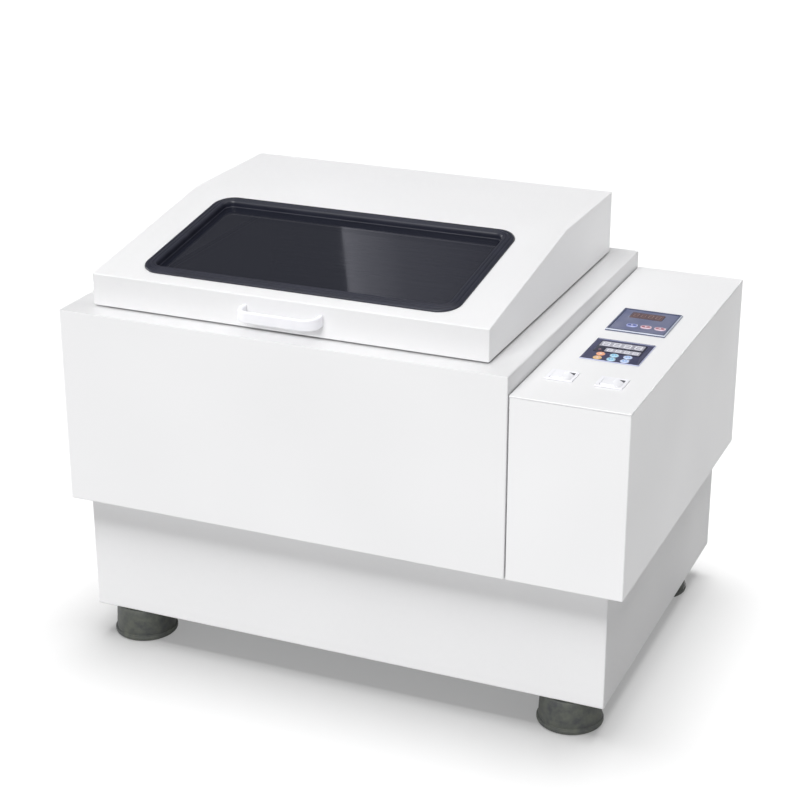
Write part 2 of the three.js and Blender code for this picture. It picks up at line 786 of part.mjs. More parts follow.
function addIdlers() {
  const base = linerFloor + seatGap;
  const discBottom = crankTop - idlerDiscHeight;
  const height = discBottom - runGap - base;
  const pinTop = carrierTop - carrierThickness - pinEndGap;
  const housing = rod(idlerFlangeRadius, 0, idlerFlangeHeight)
    .add(rod(idlerHousingRadius, 0, height))
    .subtract(rod(idlerShaftRadius + seatGap, -overrun, height + overrun, 0, 0, smallSides));
  const crank = rod(idlerShaftRadius, base + runGap, crankTop, 0, 0, smallSides)
    .add(rod(idlerDiscRadius, discBottom, crankTop))
    .add(rod(idlerShaftRadius, crankTop - overrun, pinTop, orbitRadius, 0, smallSides));
  for (const [side, x] of Object.entries(idlerPlaces)) {
    addPiece(machine, "idler_housing_" + side, housing, castAluminium).position.set(x, idlerY, base);
    addPiece(machine, "idler_crank_" + side, crank, machinedSteel).position.set(x, idlerY, 0);
  }
}

// Tray carrier: a plate with three bearing bosses, one over each crank pin. At rest the pins stand
// one orbit radius to the right of their shafts, and so do the bosses.
const trayX = trayCentreX + orbitRadius;

function addCarrier() {
  const carrier = addGroup(machine, trayX, trayCentreY, 0);
  const hubs = [
    [0, crankY - trayCentreY, carrierHubRadius, crankPinRadius],
    [-idlerSpread, idlerY - trayCentreY, carrierBossRadius, idlerShaftRadius],
    [idlerSpread, idlerY - trayCentreY, carrierBossRadius, idlerShaftRadius],
  ];
  const plateBottom = carrierTop - carrierThickness;
  let plate = roundedSlab(centred(carrierWidth, carrierLength), carrierCorner, plateBottom, carrierTop);
  for (const side of [-1, 1]) {
    const width = carrierWidth / 2 - 2 * carrierWindowInset;
    const length = carrierLength - 2 * carrierWindowInset - 2 * carrierBossRadius;
    const window = centred(width, length, (side * carrierWidth) / 4, -carrierBossRadius);
    const corner = Math.min(carrierWindowCorner, width / 3, length / 3);
    plate = plate.subtract(roundedSlab(window, corner, plateBottom - overrun, carrierTop + overrun));
  }
  for (const [x, y, radius] of hubs) {
    plate = plate.add(rod(radius, carrierBottom, carrierTop, x, y));
  }
  for (const [x, y, , pinRadius] of hubs) {
    const sides = pinRadius === crankPinRadius ? roundSides : smallSides;
    plate = plate.subtract(
      rod(pinRadius + seatGap, carrierBottom - overrun, plateBottom, x, y, sides),
    );
  }
  addPiece(carrier, "tray_carrier", plate, castAluminium);
}

// Flask tray: a stainless tray with a rim and a grid of fixing holes.
function addTray() {
  const area = centred(trayWidth, trayLength);
  const top = trayThickness + trayRimHeight;
  let tray = roundedSlab(area, trayCorner, 0, top).subtract(
    roundedSlab(grow(area, -trayRimThickness), trayCorner - trayRimThickness, trayThickness, top + overrun),
  );
  const field = grow(area, -trayHoleInset);
  const pitchX = (field.right - field.left) / (trayHolesAcross - 1);
  const pitchY = (field.back - field.front) / (trayHolesAcross - 1);
  for (let column = 0; column < trayHolesAcross; column++) {
    for (let row = 0; row < trayHolesAcross; row++) {
      const x = field.left + column * pitchX;
      const y = field.front + row * pitchY;
      tray = tray.subtract(rod(trayHoleRadius, -overrun, trayThickness + overrun, x, y, hexSides));
    }
  }
  addPiece(machine, "flask_tray", tray, stainless).position.set(trayX, trayCentreY, trayBottom);
}

// Flask clamps: a disc with four sprung fingers that lean in at the top.
function addClamps() {
  const reach = clampFingerRiseShares.map((share, i) => [
    clampBaseRadius * clampFingerRadiusShares[i],
    clampHeight * share,
  ]);
  const back = reach.map(([radius, rise]) => [radius + clampThickness, rise]).reverse();
  const finger = runAlongY(outlineOf([...reach, ...back]), -clampFingerWidth / 2, clampFingerWidth / 2);
  let clamp = rod(clampBaseRadius, 0, clampThickness);
  for (let i = 0; i < clampFingers; i++) {
    clamp = clamp.add(finger.rotate([0, 0, (360 * (i + 0.5)) / clampFingers]));
  }
  const seat = trayBottom + trayThickness + seatGap;
  const places = {
    front_left: [-1, -1],
    front_right: [1, -1],
    rear_left: [-1, 1],
    rear_right: [1, 1],
  };
  for (const [corner, [sideX, sideY]] of Object.entries(places)) {
    const x = trayX + sideX * (trayWidth / 4 - clampDrawX);
    const y = trayCentreY + sideY * (trayLength / 4 - clampDrawY);
    addPiece(machine, "flask_clamp_" + corner, clamp, stainless).position.set(x, y, seat);
  }
}

// Lid: drawn in its own group, with its origin at the middle of its lower front edge.
const lid = addGroup(machine, lidCentreX, lidFront, lidBottom);
const slope = Math.atan2(lidHeight - lidLip, lidSlopeRun);

// The lid's side outline, moved in from its outer faces.
function lidOutline(inset, bottom, backInset = inset) {
  const drop = inset / Math.cos(slope);
  const roofAt = (y) => lidLip + Math.tan(slope) * y - drop;
  const knee = (lidHeight - inset - lidLip + drop) / Math.tan(slope);
  return outlineOf([
    [inset, bottom],
    [lidDepth - backInset, bottom],
    [lidDepth - backInset, lidHeight - inset],
    [knee, lidHeight - inset],
    [inset, roofAt(inset)],
  ]);
}

const lidBlock = (inset, bottom, backInset) =>
  runAlongX(lidOutline(inset, bottom, backInset), inset - lidWidth / 2, lidWidth / 2 - inset);

// The window's place: the middle of the gasket, on the slope's outer face.
const slopeLength = Math.hypot(lidSlopeRun, lidHeight - lidLip);
const gasketWidth = lidWidth - 2 * gasketInsetSide;
const gasketLength = slopeLength - gasketRise - gasketInsetTop;
const windowAlong = gasketRise + gasketLength / 2;
const windowY = windowAlong * Math.cos(slope);
const windowZ = lidLip + windowAlong * Math.sin(slope);
const gasketArea = centred(gasketWidth, gasketLength);
const cutout = grow(gasketArea, -gasketLap);
const sight = grow(gasketArea, -gasketBand);

function windowCut(area, corner, low, high) {
  const cut = roundedSlab(area, corner, low, high);
  return cut.rotate([(slope * 180) / Math.PI, 0, 0]).translate([0, windowY, windowZ]);
}

function addLidShell() {
  const shell = lidBlock(0, 0)
    .subtract(lidBlock(sheet, -overrun))
    .subtract(windowCut(cutout, gasketCorner - gasketLap, -sheet - overrun, overrun));
  addPiece(lid, "lid_shell", shell, whitePaint);
}

// Lid liner: an inner skin with a flange that closes the lid's underside and meets the mouth seal.
function addLidLiner() {
  const rim = centred(lidWidth - 2 * (sheet + seatGap), lidDepth - 2 * (sheet + seatGap), 0, lidDepth / 2);
  const inner = lidLinerInset + lidLinerSheet;
  const skin = lidBlock(lidLinerInset, sealRise, lidLinerBack)
    .add(block(rim, sealRise, sealRise + lidLinerSheet))
    .subtract(lidBlock(inner, sealRise - overrun, lidLinerBack + lidLinerSheet))
    .subtract(windowCut(sight, gasketCorner - gasketBand, -inner - overrun, -lidLinerInset + overrun));
  addPiece(lid, "lid_liner", skin, whitePaint);
}

// Window: the gasket grips the lid's cut-out and holds the pane below its crest.
function addWindow() {
  const frame = addGroup(lid, 0, windowY, windowZ);
  frame.rotation.x = slope;
  const base = seatGap - lidLinerInset;
  const under = -sheet - seatGap;
  const paneTop = -paneDepth;
  const paneBottom = paneTop - paneThickness;
  const paneArea = grow(sight, paneBite);
  const gasket = roundedSlab(gasketArea, gasketCorner, seatGap, gasketCrest)
    .add(roundedSlab(grow(cutout, -seatGap), gasketCorner - gasketLap, base, gasketCrest))
    .add(
      roundedSlab(grow(cutout, gasketUnderLap), gasketCorner - gasketUnderLap, under - gasketUnderLip, under),
    )
    .subtract(roundedSlab(sight, gasketCorner - gasketBand, base - overrun, gasketCrest + overrun))
    .subtract(
      roundedSlab(
        grow(paneArea, seatGap),
        gasketCorner - gasketBand + paneBite,
        paneBottom - seatGap,
        paneTop + seatGap,
      ),
    );
  addPiece(frame, "window_gasket", gasket, blackRubber);
  const pane = roundedSlab(paneArea, gasketCorner - gasketBand + paneBite, paneBottom, paneTop);
  addPiece(frame, "window_pane", pane, smokedGlass);
}

function addHandle() {
  const bow = (half, reach, corner, start) => {
    const outline = new THREE.Shape();
    outline.moveTo(-half, start);
    outline.lineTo(-half, corner - reach);
    outline.absarc(corner - half, corner - reach, corner, Math.PI, Math.PI * 1.5, false);
    outline.lineTo(half - corner, -reach);
    outline.absarc(half - corner, corner - reach, corner, -Math.PI / 2, 0, false);
    outline.lineTo(half, start);
    return outline;
  };
  const half = handleWidth / 2;
  const outline = bow(half - handleEdge, handleReach - handleEdge, handleCorner, 0);
  const outside = new THREE.ExtrudeGeometry(outline, {
    depth: handleHeight - 2 * handleEdge,
    bevelThickness: handleEdge,
    bevelSize: handleEdge,
    bevelSegments: 2,
    curveSegments: handleArcSteps,
  }).translate(0, 0, handleEdge - handleHeight / 2);
  const inside = slab(
    bow(half - handleStrap, handleReach - handleStrap, handleCorner - handleStrap, handleReach),
    -handleHeight,
    handleHeight,
  );
  const room = block(centred(2 * handleWidth, handleReach, 0, handleReach / 2 - seatGap), -lidLip, lidLip);
  const strap = solidOf(outside).subtract(inside).subtract(room);
  addPiece(lid, "lid_handle", strap, whitePlastic).position.z = handleRise;
}

// Piano hinge: the lid's leaf has the odd knuckles and the body's leaf the even ones.
const hingeY = lidBack + seatGap + knuckleRadius;
const hingeZ = cabinetTopHeight + seatGap + knuckleRadius;

function addHinge() {
  const hinge = addGroup(machine, lidCentreX, hingeY, hingeZ);
  const hingeLength = lidWidth - 2 * hingeInset;
  const pitch = hingeLength / hingeKnuckles;
  const half = hingeLength / 2;
  const outer = -knuckleRadius;
  const inner = outer + hingeLeafThickness;
  const boreRadius = hingePinRadius + seatGap;
  const leaf = (plate, remainder) => {
    let made = plate;
    for (let i = 0; i < hingeKnuckles; i++) {
      const left = i * pitch - half;
      if (i % 2 === remainder) {
        const own = span(left + knuckleGap / 2, left + pitch - knuckleGap / 2, 0, 0);
        made = made.add(rodAlongX(knuckleRadius, own.left, own.right, 0, 0, hingeSides));
      } else {
        const reach = knuckleRadius + seatGap;
        const room = centred(pitch + knuckleGap, 2 * reach, left + pitch / 2, 0);
        made = made.subtract(block(room, -reach, reach));
      }
    }
    return made.subtract(rodAlongX(boreRadius, -half - overrun, half + overrun, 0, 0, hingeSides));
  };
  const upright = block(span(-half, half, outer, inner), 0, hingeLeafReach);
  const flat = block(span(-half, half, 0, hingeLeafReach), outer, inner);
  addPiece(hinge, "hinge_lid_leaf", leaf(upright, 0), stainless);
  addPiece(hinge, "hinge_body_leaf", leaf(flat, 1), stainless);
  const pin = rodAlongX(hingePinRadius, -half, half, 0, 0, hingeSides);
  addPiece(hinge, "hinge_pin", pin, machinedSteel);
}

// Control box: a narrow case beside the cabinet, open at the top under its panel.
const boxTop = controlTopHeight - panelThickness - seatGap;
const inletX = (control.left + control.right) / 2;
const inletZ = undersideHeight + inletRise;

function addControlBox() {
  let box = block(control, undersideHeight, boxTop)
    .subtract(block(grow(control, -sheet), undersideHeight + sheet, boxTop - sheet))
    .subtract(block(grow(control, -boxFlange), boxTop - sheet - overrun, boxTop + overrun));
  const wallCut = (width, low, high) =>
    block(
      span(inletX - width / 2, inletX + width / 2, bodyBack - sheet - overrun, bodyBack + overrun),
      low,
      high,
    );
  for (let slot = 0; slot < ventSlots; slot++) {
    const high = boxTop - ventDrop - slot * ventPitch;
    box = box.subtract(wallCut(ventSlotWidth, high - ventSlotHeight, high));
  }
  const half = inletHeight / 2 - inletBodyMargin + seatGap;
  box = box.subtract(wallCut(inletWidth - 2 * (inletBodyMargin - seatGap), inletZ - half, inletZ + half));
  addPiece(machine, "control_box", box, whitePaint);
}

// Power inlet: a flanged socket with three flat pins. Its flange stands proud of the rear wall.
function addInlet() {
  const inlet = addGroup(machine, inletX, bodyBack, inletZ);
  const face = inletProud;
  const bodyWide = inletWidth / 2 - inletBodyMargin;
  const bodyHigh = inletHeight / 2 - inletBodyMargin;
  const socketWide = inletWidth / 2 - inletBodyMargin - inletSocketMargin;
  const socketHigh = inletHeight / 2 - inletBodyMargin - inletSocketMargin / 2;
  let socket = block(span(-inletWidth / 2, inletWidth / 2, seatGap, face), -inletHeight / 2, inletHeight / 2)
    .add(block(span(-bodyWide, bodyWide, -inletBodyDepth, face), -bodyHigh, bodyHigh))
    .subtract(
      block(span(-socketWide, socketWide, face - inletSocketDepth, face + overrun), -socketHigh, socketHigh),
    );
  const pins = [
    [-inletPinSpread, -inletPinLift],
    [0, inletPinLift],
    [inletPinSpread, -inletPinLift],
  ];
  for (const [x, z] of pins) {
    const root = face - inletSocketDepth - overrun;
    const pin = span(x - inletPinWidth / 2, x + inletPinWidth / 2, root, root + overrun + inletPinLength);
    socket = socket.add(block(pin, z - inletPinHeight / 2, z + inletPinHeight / 2));
  }
  addPiece(inlet, "power_inlet", socket, blackPlastic);
}

// Control panel: its group's origin is the middle of the panel's front edge, on its upper face.
const panelCentreX = (control.left + control.right) / 2;
const panel = addGroup(machine, panelCentreX, bodyFront, controlTopHeight);
const switchPlaces = {
  shake: switchOffset - switchSpacing / 2,
  power: switchOffset + switchSpacing / 2,
};

function addPanel() {
  const half = (control.right - control.left) / 2;
  let plate = block(span(-half, half, 0, bodyDepth), -panelThickness, 0);
  const cutPlate = (width, length, x, y) => {
    plate = plate.subtract(block(centred(width, length, x, y), -panelThickness - overrun, overrun));
  };
  for (const module of [temperatureModule, speedModule]) {
    const trim = 2 * (moduleBodyMargin - moduleCutoutGap);
    cutPlate(module.width - trim, module.length - trim, 0, module.fromFront);
  }
  for (const x of Object.values(switchPlaces)) {
    const trim = 2 * (switchRim - switchWall - moduleCutoutGap);
    cutPlate(switchWidth - trim, switchLength - trim, x, switchFromFront);
  }
  addPiece(panel, "control_panel", plate, panelPaint);
}

// A panel-mounted module: a bezel with a dished face on a body that goes down through the panel.
function moduleBody(module) {
  const body = centred(module.width - 2 * moduleBodyMargin, module.length - 2 * moduleBodyMargin);
  const face = centred(module.width - 2 * module.rim, module.length - 2 * module.rim);
  return block(centred(module.width, module.length), seatGap, module.proud)
    .add(block(body, -module.depth, module.proud))
    .subtract(block(face, module.proud - module.dish, module.proud + overrun));
}

// A display lens, and the recess that it sits in. Heights are from the module's dished face.
function displayLens({ width, length, offsetX, offsetY }) {
  const area = centred(width, length, offsetX, offsetY);
  return roundedSlab(area, windowCorner, seatGap - windowDepth, windowProud);
}

function displayRecess({ width, length, offsetX, offsetY }) {
  const area = grow(centred(width, length, offsetX, offsetY), seatGap);
  return roundedSlab(area, windowCorner + seatGap, -windowDepth, windowDepth);
}

// An oval outline, or a circle where its length and width are the same.
function ovalOutline(length, width) {
  const radius = width / 2;
  const reach = (length - width) / 2;
  const outline = new THREE.Shape();
  outline.absarc(reach, 0, radius, -Math.PI / 2, Math.PI / 2, false);
  outline.absarc(-reach, 0, radius, Math.PI / 2, Math.PI * 1.5, false);
  outline.closePath();
  return outline;
}

// A key cap with a domed edge, from its foot in the pocket to its top.
function keyCap(length, width, top) {
  const outline = ovalOutline(length - 2 * keyCrown, width - 2 * keyCrown);
  const bottom = -keySkirt;
  const geometry = new THREE.ExtrudeGeometry(outline, {
    depth: top - bottom - 2 * keyCrown,
    bevelThickness: keyCrown,
    bevelSize: keyCrown,
    bevelSegments: 1,
    curveSegments: keySteps,
  });
  return solidOf(geometry.translate(0, 0, bottom + keyCrown));
}

function keyPocket(length, width, x, y) {
  const outline = ovalOutline(length + 2 * seatGap, width + 2 * seatGap);
  const depth = keySkirt + keyTravel + seatGap;
  const options = { depth: depth + overrun, bevelEnabled: false, curveSegments: keySteps };
  return solidOf(new THREE.ExtrudeGeometry(outline, options).translate(x, y, -depth));
}

function addTemperatureModule() {
  const module = addGroup(panel, 0, temperatureModule.fromFront, 0);
  const face = temperatureModule.proud - temperatureModule.dish;
  const keys = { set: -1, down: 0, up: 1 };
  let body = moduleBody(temperatureModule).subtract(displayRecess(temperatureWindow).translate([0, 0, face]));
  for (const [name, step] of Object.entries(keys)) {
    const x = ovalKey.offsetX + step * ovalKey.pitch;
    const pocket = keyPocket(ovalKey.length, ovalKey.width, x, ovalKey.offsetY);
    body = body.subtract(pocket.translate([0, 0, face]));
    const cap = keyCap(ovalKey.length, ovalKey.width, ovalKey.proud);
    const finish = step < 0 ? blueKey : pinkKey;
    addPiece(module, "temperature_key_" + name, cap, finish).position.set(x, ovalKey.offsetY, face);
  }
  addPiece(module, "temperature_module", body, slatePlastic);
  addPiece(module, "temperature_display", displayLens(temperatureWindow), redLens).position.z = face;
}

function addSpeedModule() {
  const module = addGroup(panel, 0, speedModule.fromFront, 0);
  const face = speedModule.proud - speedModule.dish;
  let body = moduleBody(speedModule).subtract(displayRecess(speedWindow).translate([0, 0, face]));
  const keySize = 2 * roundKey.radius;
  for (const row of [0, 1]) {
    for (const column of [0, 1, 2]) {
      const x = (column - 1) * roundKey.pitchX;
      const y = roundKey.offsetY - row * roundKey.pitchY;
      body = body.subtract(keyPocket(keySize, keySize, x, y).translate([0, 0, face]));
      const cap = keyCap(keySize, keySize, roundKey.proud);
      const name = "speed_key_" + (row ? "lower_" : "upper_") + (column + 1);
      addPiece(module, name, cap, column ? cyanKey : orangeKey).position.set(x, y, face);
    }
  }
  addPiece(module, "speed_module", body, navyPlastic);
  addPiece(module, "speed_display", displayLens(speedWindow), greyLens).position.z = face;
}

// Rocker switches: the paddle tilts on a pivot along Y, and rests with its right end pressed in.
function addSwitches() {
  const wellWide = switchWidth / 2 - switchRim;
  const wellLong = switchLength / 2 - switchRim;
  const bodyWide = wellWide + switchWall;
  const bodyLong = wellLong + switchWall;
  const well = centred(2 * wellWide, 2 * wellLong);
  const frame = block(centred(switchWidth, switchLength), seatGap, switchProud)
    .add(block(centred(2 * bodyWide, 2 * bodyLong), -switchDepth, switchProud))
    .subtract(block(well, -switchWellDepth, switchProud + overrun));
  const reach = wellWide - rockerSwing;
  const top = rockerPivotDepth + rockerRise;
  const endTop = top - reach * Math.tan(rockerCrown);
  const side = outlineOf([
    [rockerFoot, -rockerFootDepth],
    [reach, endTop],
    [0, top],
    [-reach, endTop],
    [-rockerFoot, -rockerFootDepth],
  ]);
  const paddleLong = wellLong - seatGap;
  const paddle = runAlongY(side, -paddleLong, paddleLong);
  for (const [name, x] of Object.entries(switchPlaces)) {
    const group = addGroup(panel, x, switchFromFront, 0);
    addPiece(group, name + "_switch_frame", frame, whitePlastic);
    const rocker = addPiece(group, name + "_rocker", paddle, whitePlastic);
    rocker.position.z = switchProud - rockerPivotDepth;
    rocker.rotation.y = rockerTilt;
  }
}

addPlinth();
addBaseFloor();
addFeet();
addCabinet();
addLiner();
addInsulation();
addMouthSeal();
addDuctCover();
addFan();
addHeater();
addProbe();
addMotor();
addBelt();
addBearingHousing();
addCrank();
addIdlers();
addCarrier();
addTray();
addClamps();
addLidShell();
addLidLiner();
addWindow();
addHandle();
addHinge();
addControlBox();
addInlet();
addPanel();
addTemperatureModule();
addSpeedModule();
addSwitches();

export default shaker;
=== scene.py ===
"""An incubated benchtop shaker: white powder-coated sheet metal, a smoked window in a rubber gasket, a
control box with two panel modules and two rocker switches, and four rubber feet."""
import math

import bmesh
import bpy
from mathutils import Matrix, Vector


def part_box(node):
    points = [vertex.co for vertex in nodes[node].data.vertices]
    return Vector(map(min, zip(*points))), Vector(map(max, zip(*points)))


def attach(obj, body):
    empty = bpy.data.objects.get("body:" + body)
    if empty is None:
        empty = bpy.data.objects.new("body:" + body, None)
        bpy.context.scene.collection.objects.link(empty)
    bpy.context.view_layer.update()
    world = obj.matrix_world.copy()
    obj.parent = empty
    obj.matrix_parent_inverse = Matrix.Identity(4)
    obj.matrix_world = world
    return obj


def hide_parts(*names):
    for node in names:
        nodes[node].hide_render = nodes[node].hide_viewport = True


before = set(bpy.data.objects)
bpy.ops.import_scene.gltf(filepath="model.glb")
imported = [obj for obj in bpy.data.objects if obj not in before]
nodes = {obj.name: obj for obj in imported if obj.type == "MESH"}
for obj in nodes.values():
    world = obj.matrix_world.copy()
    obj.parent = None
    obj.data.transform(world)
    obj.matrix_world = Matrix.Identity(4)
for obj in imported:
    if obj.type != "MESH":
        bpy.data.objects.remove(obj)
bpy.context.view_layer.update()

MM = 0.001


def mm(*lengths):
    """Millimetres as metres: one number, or a vector of three."""
    return Vector(lengths) * MM if len(lengths) == 3 else lengths[0] * MM


def middle_of(node):
    """The middle of a CAD node's box."""
    low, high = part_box(node)
    return (low + high) / 2


# Where the assemblies are, from the frame.
LID_LOW, LID_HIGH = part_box("lid_shell")
PANEL_LOW, PANEL_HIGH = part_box("control_panel")

CORNERS = ("front_left", "front_right", "rear_left", "rear_right")
SIDES = ("left", "right")

# The lid's slope, and the window on it.
LID_LIP = mm(39)
LID_SLOPE_RUN = mm(259)
GASKET_RISE = mm(20)
GASKET_INSET_SIDE = mm(49)
GASKET_INSET_TOP = mm(24)
GASKET_CORNER = mm(26)
SLOPE_RISE = LID_HIGH.z - LID_LOW.z - LID_LIP
SLOPE_LENGTH = math.hypot(LID_SLOPE_RUN, SLOPE_RISE)
SLOPE = math.atan2(SLOPE_RISE, LID_SLOPE_RUN)
GASKET_WIDTH = LID_HIGH.x - LID_LOW.x - 2 * GASKET_INSET_SIDE
GASKET_LENGTH = SLOPE_LENGTH - GASKET_RISE - GASKET_INSET_TOP
WINDOW_ALONG = GASKET_RISE + GASKET_LENGTH / 2
WINDOW_PLACE = Vector((
    (LID_LOW.x + LID_HIGH.x) / 2,
    LID_LOW.y + WINDOW_ALONG * math.cos(SLOPE),
    LID_LOW.z + LID_LIP + WINDOW_ALONG * math.sin(SLOPE),
))

# Surface patterns, by the real size of their grain in millimetres.
ORANGE_PEEL = 2.2
PAINT_DRIFT = 180
RUBBER_GRAIN = 1.6
GASKET_STREAK = 14
SEAL_CLOUD = 20
FOOT_MOTTLE = 11
BELT_SCUFF = 9
GLASS_HAZE = 90
BRUSHED_LINE = 0.9
BRUSHED_LENGTH = 60
OIL_PATCH = 12
GRINDING_LINE = 0.5
CASTING_CLOUD = 16
CASTING_GRAIN = 1.4
ENAMEL_CLOUD = 25
MOULD_CLOUD = 18
MOULD_TEXTURE = 0.8
WOOL_FIBRE = 2.5
FLOOR_DRIFT = 900


# Mesh work, as by hand.

def deselect():
    """Object mode with nothing selected."""
    if bpy.context.object and bpy.context.object.mode != "OBJECT":
        bpy.ops.object.mode_set(mode="OBJECT")
    bpy.ops.object.select_all(action="DESELECT")


def activate(piece):
    """Selects one piece alone."""
    deselect()
    piece.select_set(True)
    bpy.context.view_layer.objects.active = piece


def edit(piece, kind="FACE"):
    """Edit mode on one piece with nothing selected. Returns its mesh for picking."""
    activate(piece)
    bpy.ops.object.mode_set(mode="EDIT")
    bpy.ops.mesh.select_mode(type=kind)
    bpy.ops.mesh.select_all(action="DESELECT")
    return bmesh.from_edit_mesh(piece.data)


def edit_whole(piece, kind="FACE"):
    """Edit mode on one piece with everything selected."""
    edit(piece, kind)
    bpy.ops.mesh.select_all(action="SELECT")


def leave_edit():
    bpy.ops.object.mode_set(mode="OBJECT")


def face_outward():
    """Turns the faces of the mesh in edit mode outward, and leaves edit mode."""
    bpy.ops.mesh.select_all(action="SELECT")
    bpy.ops.mesh.normals_make_consistent(inside=False)
    leave_edit()


def extrude(x=0, y=0, z=0):
    bpy.ops.mesh.extrude_region_move(TRANSFORM_OT_translate={"value": (x, y, z)})


def pick(piece, elements, test):
    """Selects the elements that pass a test, and says how many did."""
    chosen = [element for element in elements if test(element)]
    for element in chosen:
        element.select_set(True)
    bmesh.update_edit_mesh(piece.data)
    return len(chosen)


def link(made):
    bpy.context.scene.collection.objects.link(made)


def named(name):
    """The piece that an operator has just added, under its name."""
    piece = bpy.context.object
    piece.name = name
    piece.data.name = name
    return piece


def apply_place(piece):
    """Puts a piece's place, turn and scale into its mesh."""
    activate(piece)
    bpy.ops.object.transform_apply(location=True, rotation=True, scale=True)


def apply_modifier(piece, kind, **settings):
    """Adds a modifier of a kind and applies it."""
    activate(piece)
    modifier = piece.modifiers.new(kind.lower(), kind)
    for key, value in settings.items():
        setattr(modifier, key, value)
    bpy.ops.object.modifier_apply(modifier=modifier.name)


def copy_of(piece, name, offset=(0, 0, 0)):
    """A copy with a mesh of its own, moved by an offset that goes into the mesh."""
    twin = piece.copy()
    twin.data = piece.data.copy()
    twin.name = name
    twin.data.name = name
    twin.data.transform(Matrix.Translation(offset))
    link(twin)
    return twin


def join(pieces, name):
    """Makes one piece of several."""
    deselect()
    for piece in pieces:
        piece.select_set(True)
    bpy.context.view_layer.objects.active = pieces[0]
    bpy.ops.object.join()
    return named(name)


MERGE = mm(0.01)
FLATNESS = math.radians(0.4)


def merged_copy(node, name):
    """A copy of a CAD node with its loose triangles merged and its flat faces made whole."""
    piece = bpy.data.objects.new(name, nodes[node].data.copy())
    piece.data.name = name
    piece.data.materials.clear()
    link(piece)
    edit_whole(piece, "VERT")
    bpy.ops.mesh.remove_doubles(threshold=MERGE)
    bpy.ops.mesh.dissolve_limited(angle_limit=FLATNESS)
    leave_edit()
    return piece


def soften(piece, test, width, segments=3):
    """Bevels the edges that pass a test."""
    mesh = edit(piece, "EDGE")
    if pick(piece, mesh.edges, test):
        bpy.ops.mesh.bevel(offset=width, segments=segments, profile=0.5, clamp_overlap=True)
    leave_edit()


def ease(piece, width, segments=2, angle=35):
    """Takes the sharpness off every edge over an angle, as a press brake, a mould or a file does."""
    apply_modifier(
        piece, "BEVEL", width=width, segments=segments, limit_method="ANGLE",
        angle_limit=math.radians(angle), use_clamp_overlap=True, harden_normals=False,
    )


def smooth(piece, angle=32):
    """Smooth shading over round edges, with the flat faces left flat."""
    activate(piece)
    bpy.ops.object.shade_smooth_by_angle(angle=math.radians(angle))
    apply_modifier(piece, "WEIGHTED_NORMAL", mode="FACE_AREA", weight=50, keep_sharp=True)


def eased_copy(node, suffix, width, round_under=32, ease_over=35):
    """A merged copy of a CAD node with its edges eased, by a width in millimetres."""
    piece = merged_copy(node, node + suffix)
    ease(piece, mm(width), 2, ease_over)
    smooth(piece, round_under)
    return piece


def settle(piece, body, slot, material, *replaced):
    """A finished piece: its finish, the body that it rides on, its slot (not used) and what it stands for.
    """
    piece.data.materials.clear()
    piece.data.materials.append(MATERIALS[material])
    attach(piece, body)
    if replaced:
        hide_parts(*replaced)
    return piece


def paint(piece, material, test):
    """Gives a second material to the faces whose middle and normal pass a test."""
    piece.data.materials.append(MATERIALS[material])
    index = len(piece.data.materials) - 1
    for face in piece.data.polygons:
        if test(face.center, face.normal):
            face.material_index = index


def stack(steps):
    """Goes on from the selected face: (inset, lift) steps draw it in and raise it, one after another."""
    for inset, lift in steps:
        if inset:
            bpy.ops.mesh.inset(thickness=inset, depth=0, use_even_offset=True, use_boundary=True)
            bpy.ops.transform.translate(value=(0, 0, lift))
        else:
            extrude(z=lift)


def rounded_plate(name, width, length, corner, segments=8, height=0.0):
    """A flat face with rounded corners, centred on the origin at a height."""
    bpy.ops.mesh.primitive_plane_add(size=1, location=(0, 0, height))
    plate = named(name)
    plate.scale = (width, length, 1)
    apply_place(plate)
    edit_whole(plate, "VERT")
    bpy.ops.mesh.bevel(offset=corner, offset_type="OFFSET", segments=segments, affect="VERTICES")
    leave_edit()
    return plate


def turned(name, profile, place, sides):
    """A turned piece: a disc drawn up the Z axis through points of radius and height in millimetres."""
    (first_radius, first_height), *rest = [(mm(radius), mm(height)) for radius, height in profile]
    bpy.ops.mesh.primitive_circle_add(
        vertices=sides, radius=first_radius, fill_type="NGON", location=(0, 0, first_height)
    )
    piece = named(name)
    apply_place(piece)
    edit_whole(piece)
    radius, height = first_radius, first_height
    for next_radius, next_height in rest:
        extrude(z=next_height - height)
        grown = next_radius / radius
        bpy.ops.transform.resize(value=(grown, grown, 1), center_override=(0, 0, next_height))
        radius, height = next_radius, next_height
    face_outward()
    piece.location = place
    apply_place(piece)
    return piece


# Materials. Each starts from what the real one is and how its surface was made.

def linear(colour):
    """An sRGB hex colour as linear red, green, blue and alpha."""
    channels = [int(colour[i:i + 2], 16) / 255 for i in (1, 3, 5)]
    return (*[c / 12.92 if c <= 0.04045 else ((c + 0.055) / 1.055) ** 2.4 for c in channels], 1.0)


def add(tree, kind, inputs=(), **settings):
    """A node with its settings, and its inputs as values or as links from other sockets."""
    made = tree.nodes.new("ShaderNode" + kind)
    for key, value in settings.items():
        setattr(made, key, value)
    for key, value in dict(inputs).items():
        if isinstance(value, bpy.types.NodeSocket):
            tree.links.new(value, made.inputs[key])
        else:
            made.inputs[key].default_value = value
    return made


def finish(name, colour, roughness, metallic=0.0, **sockets):
    """A material of one shader with its plain values set. Returns the material, tree and shader."""
    material = bpy.data.materials.new(name)
    material.use_nodes = True
    tree = material.node_tree
    shader = tree.nodes["Principled BSDF"]
    shader.inputs["Base Color"].default_value = linear(colour)
    shader.inputs["Roughness"].default_value = roughness
    shader.inputs["Metallic"].default_value = metallic
    for key, value in sockets.items():
        shader.inputs[key.replace("_", " ")].default_value = value
    material.diffuse_color = linear(colour)
    return material, tree, shader


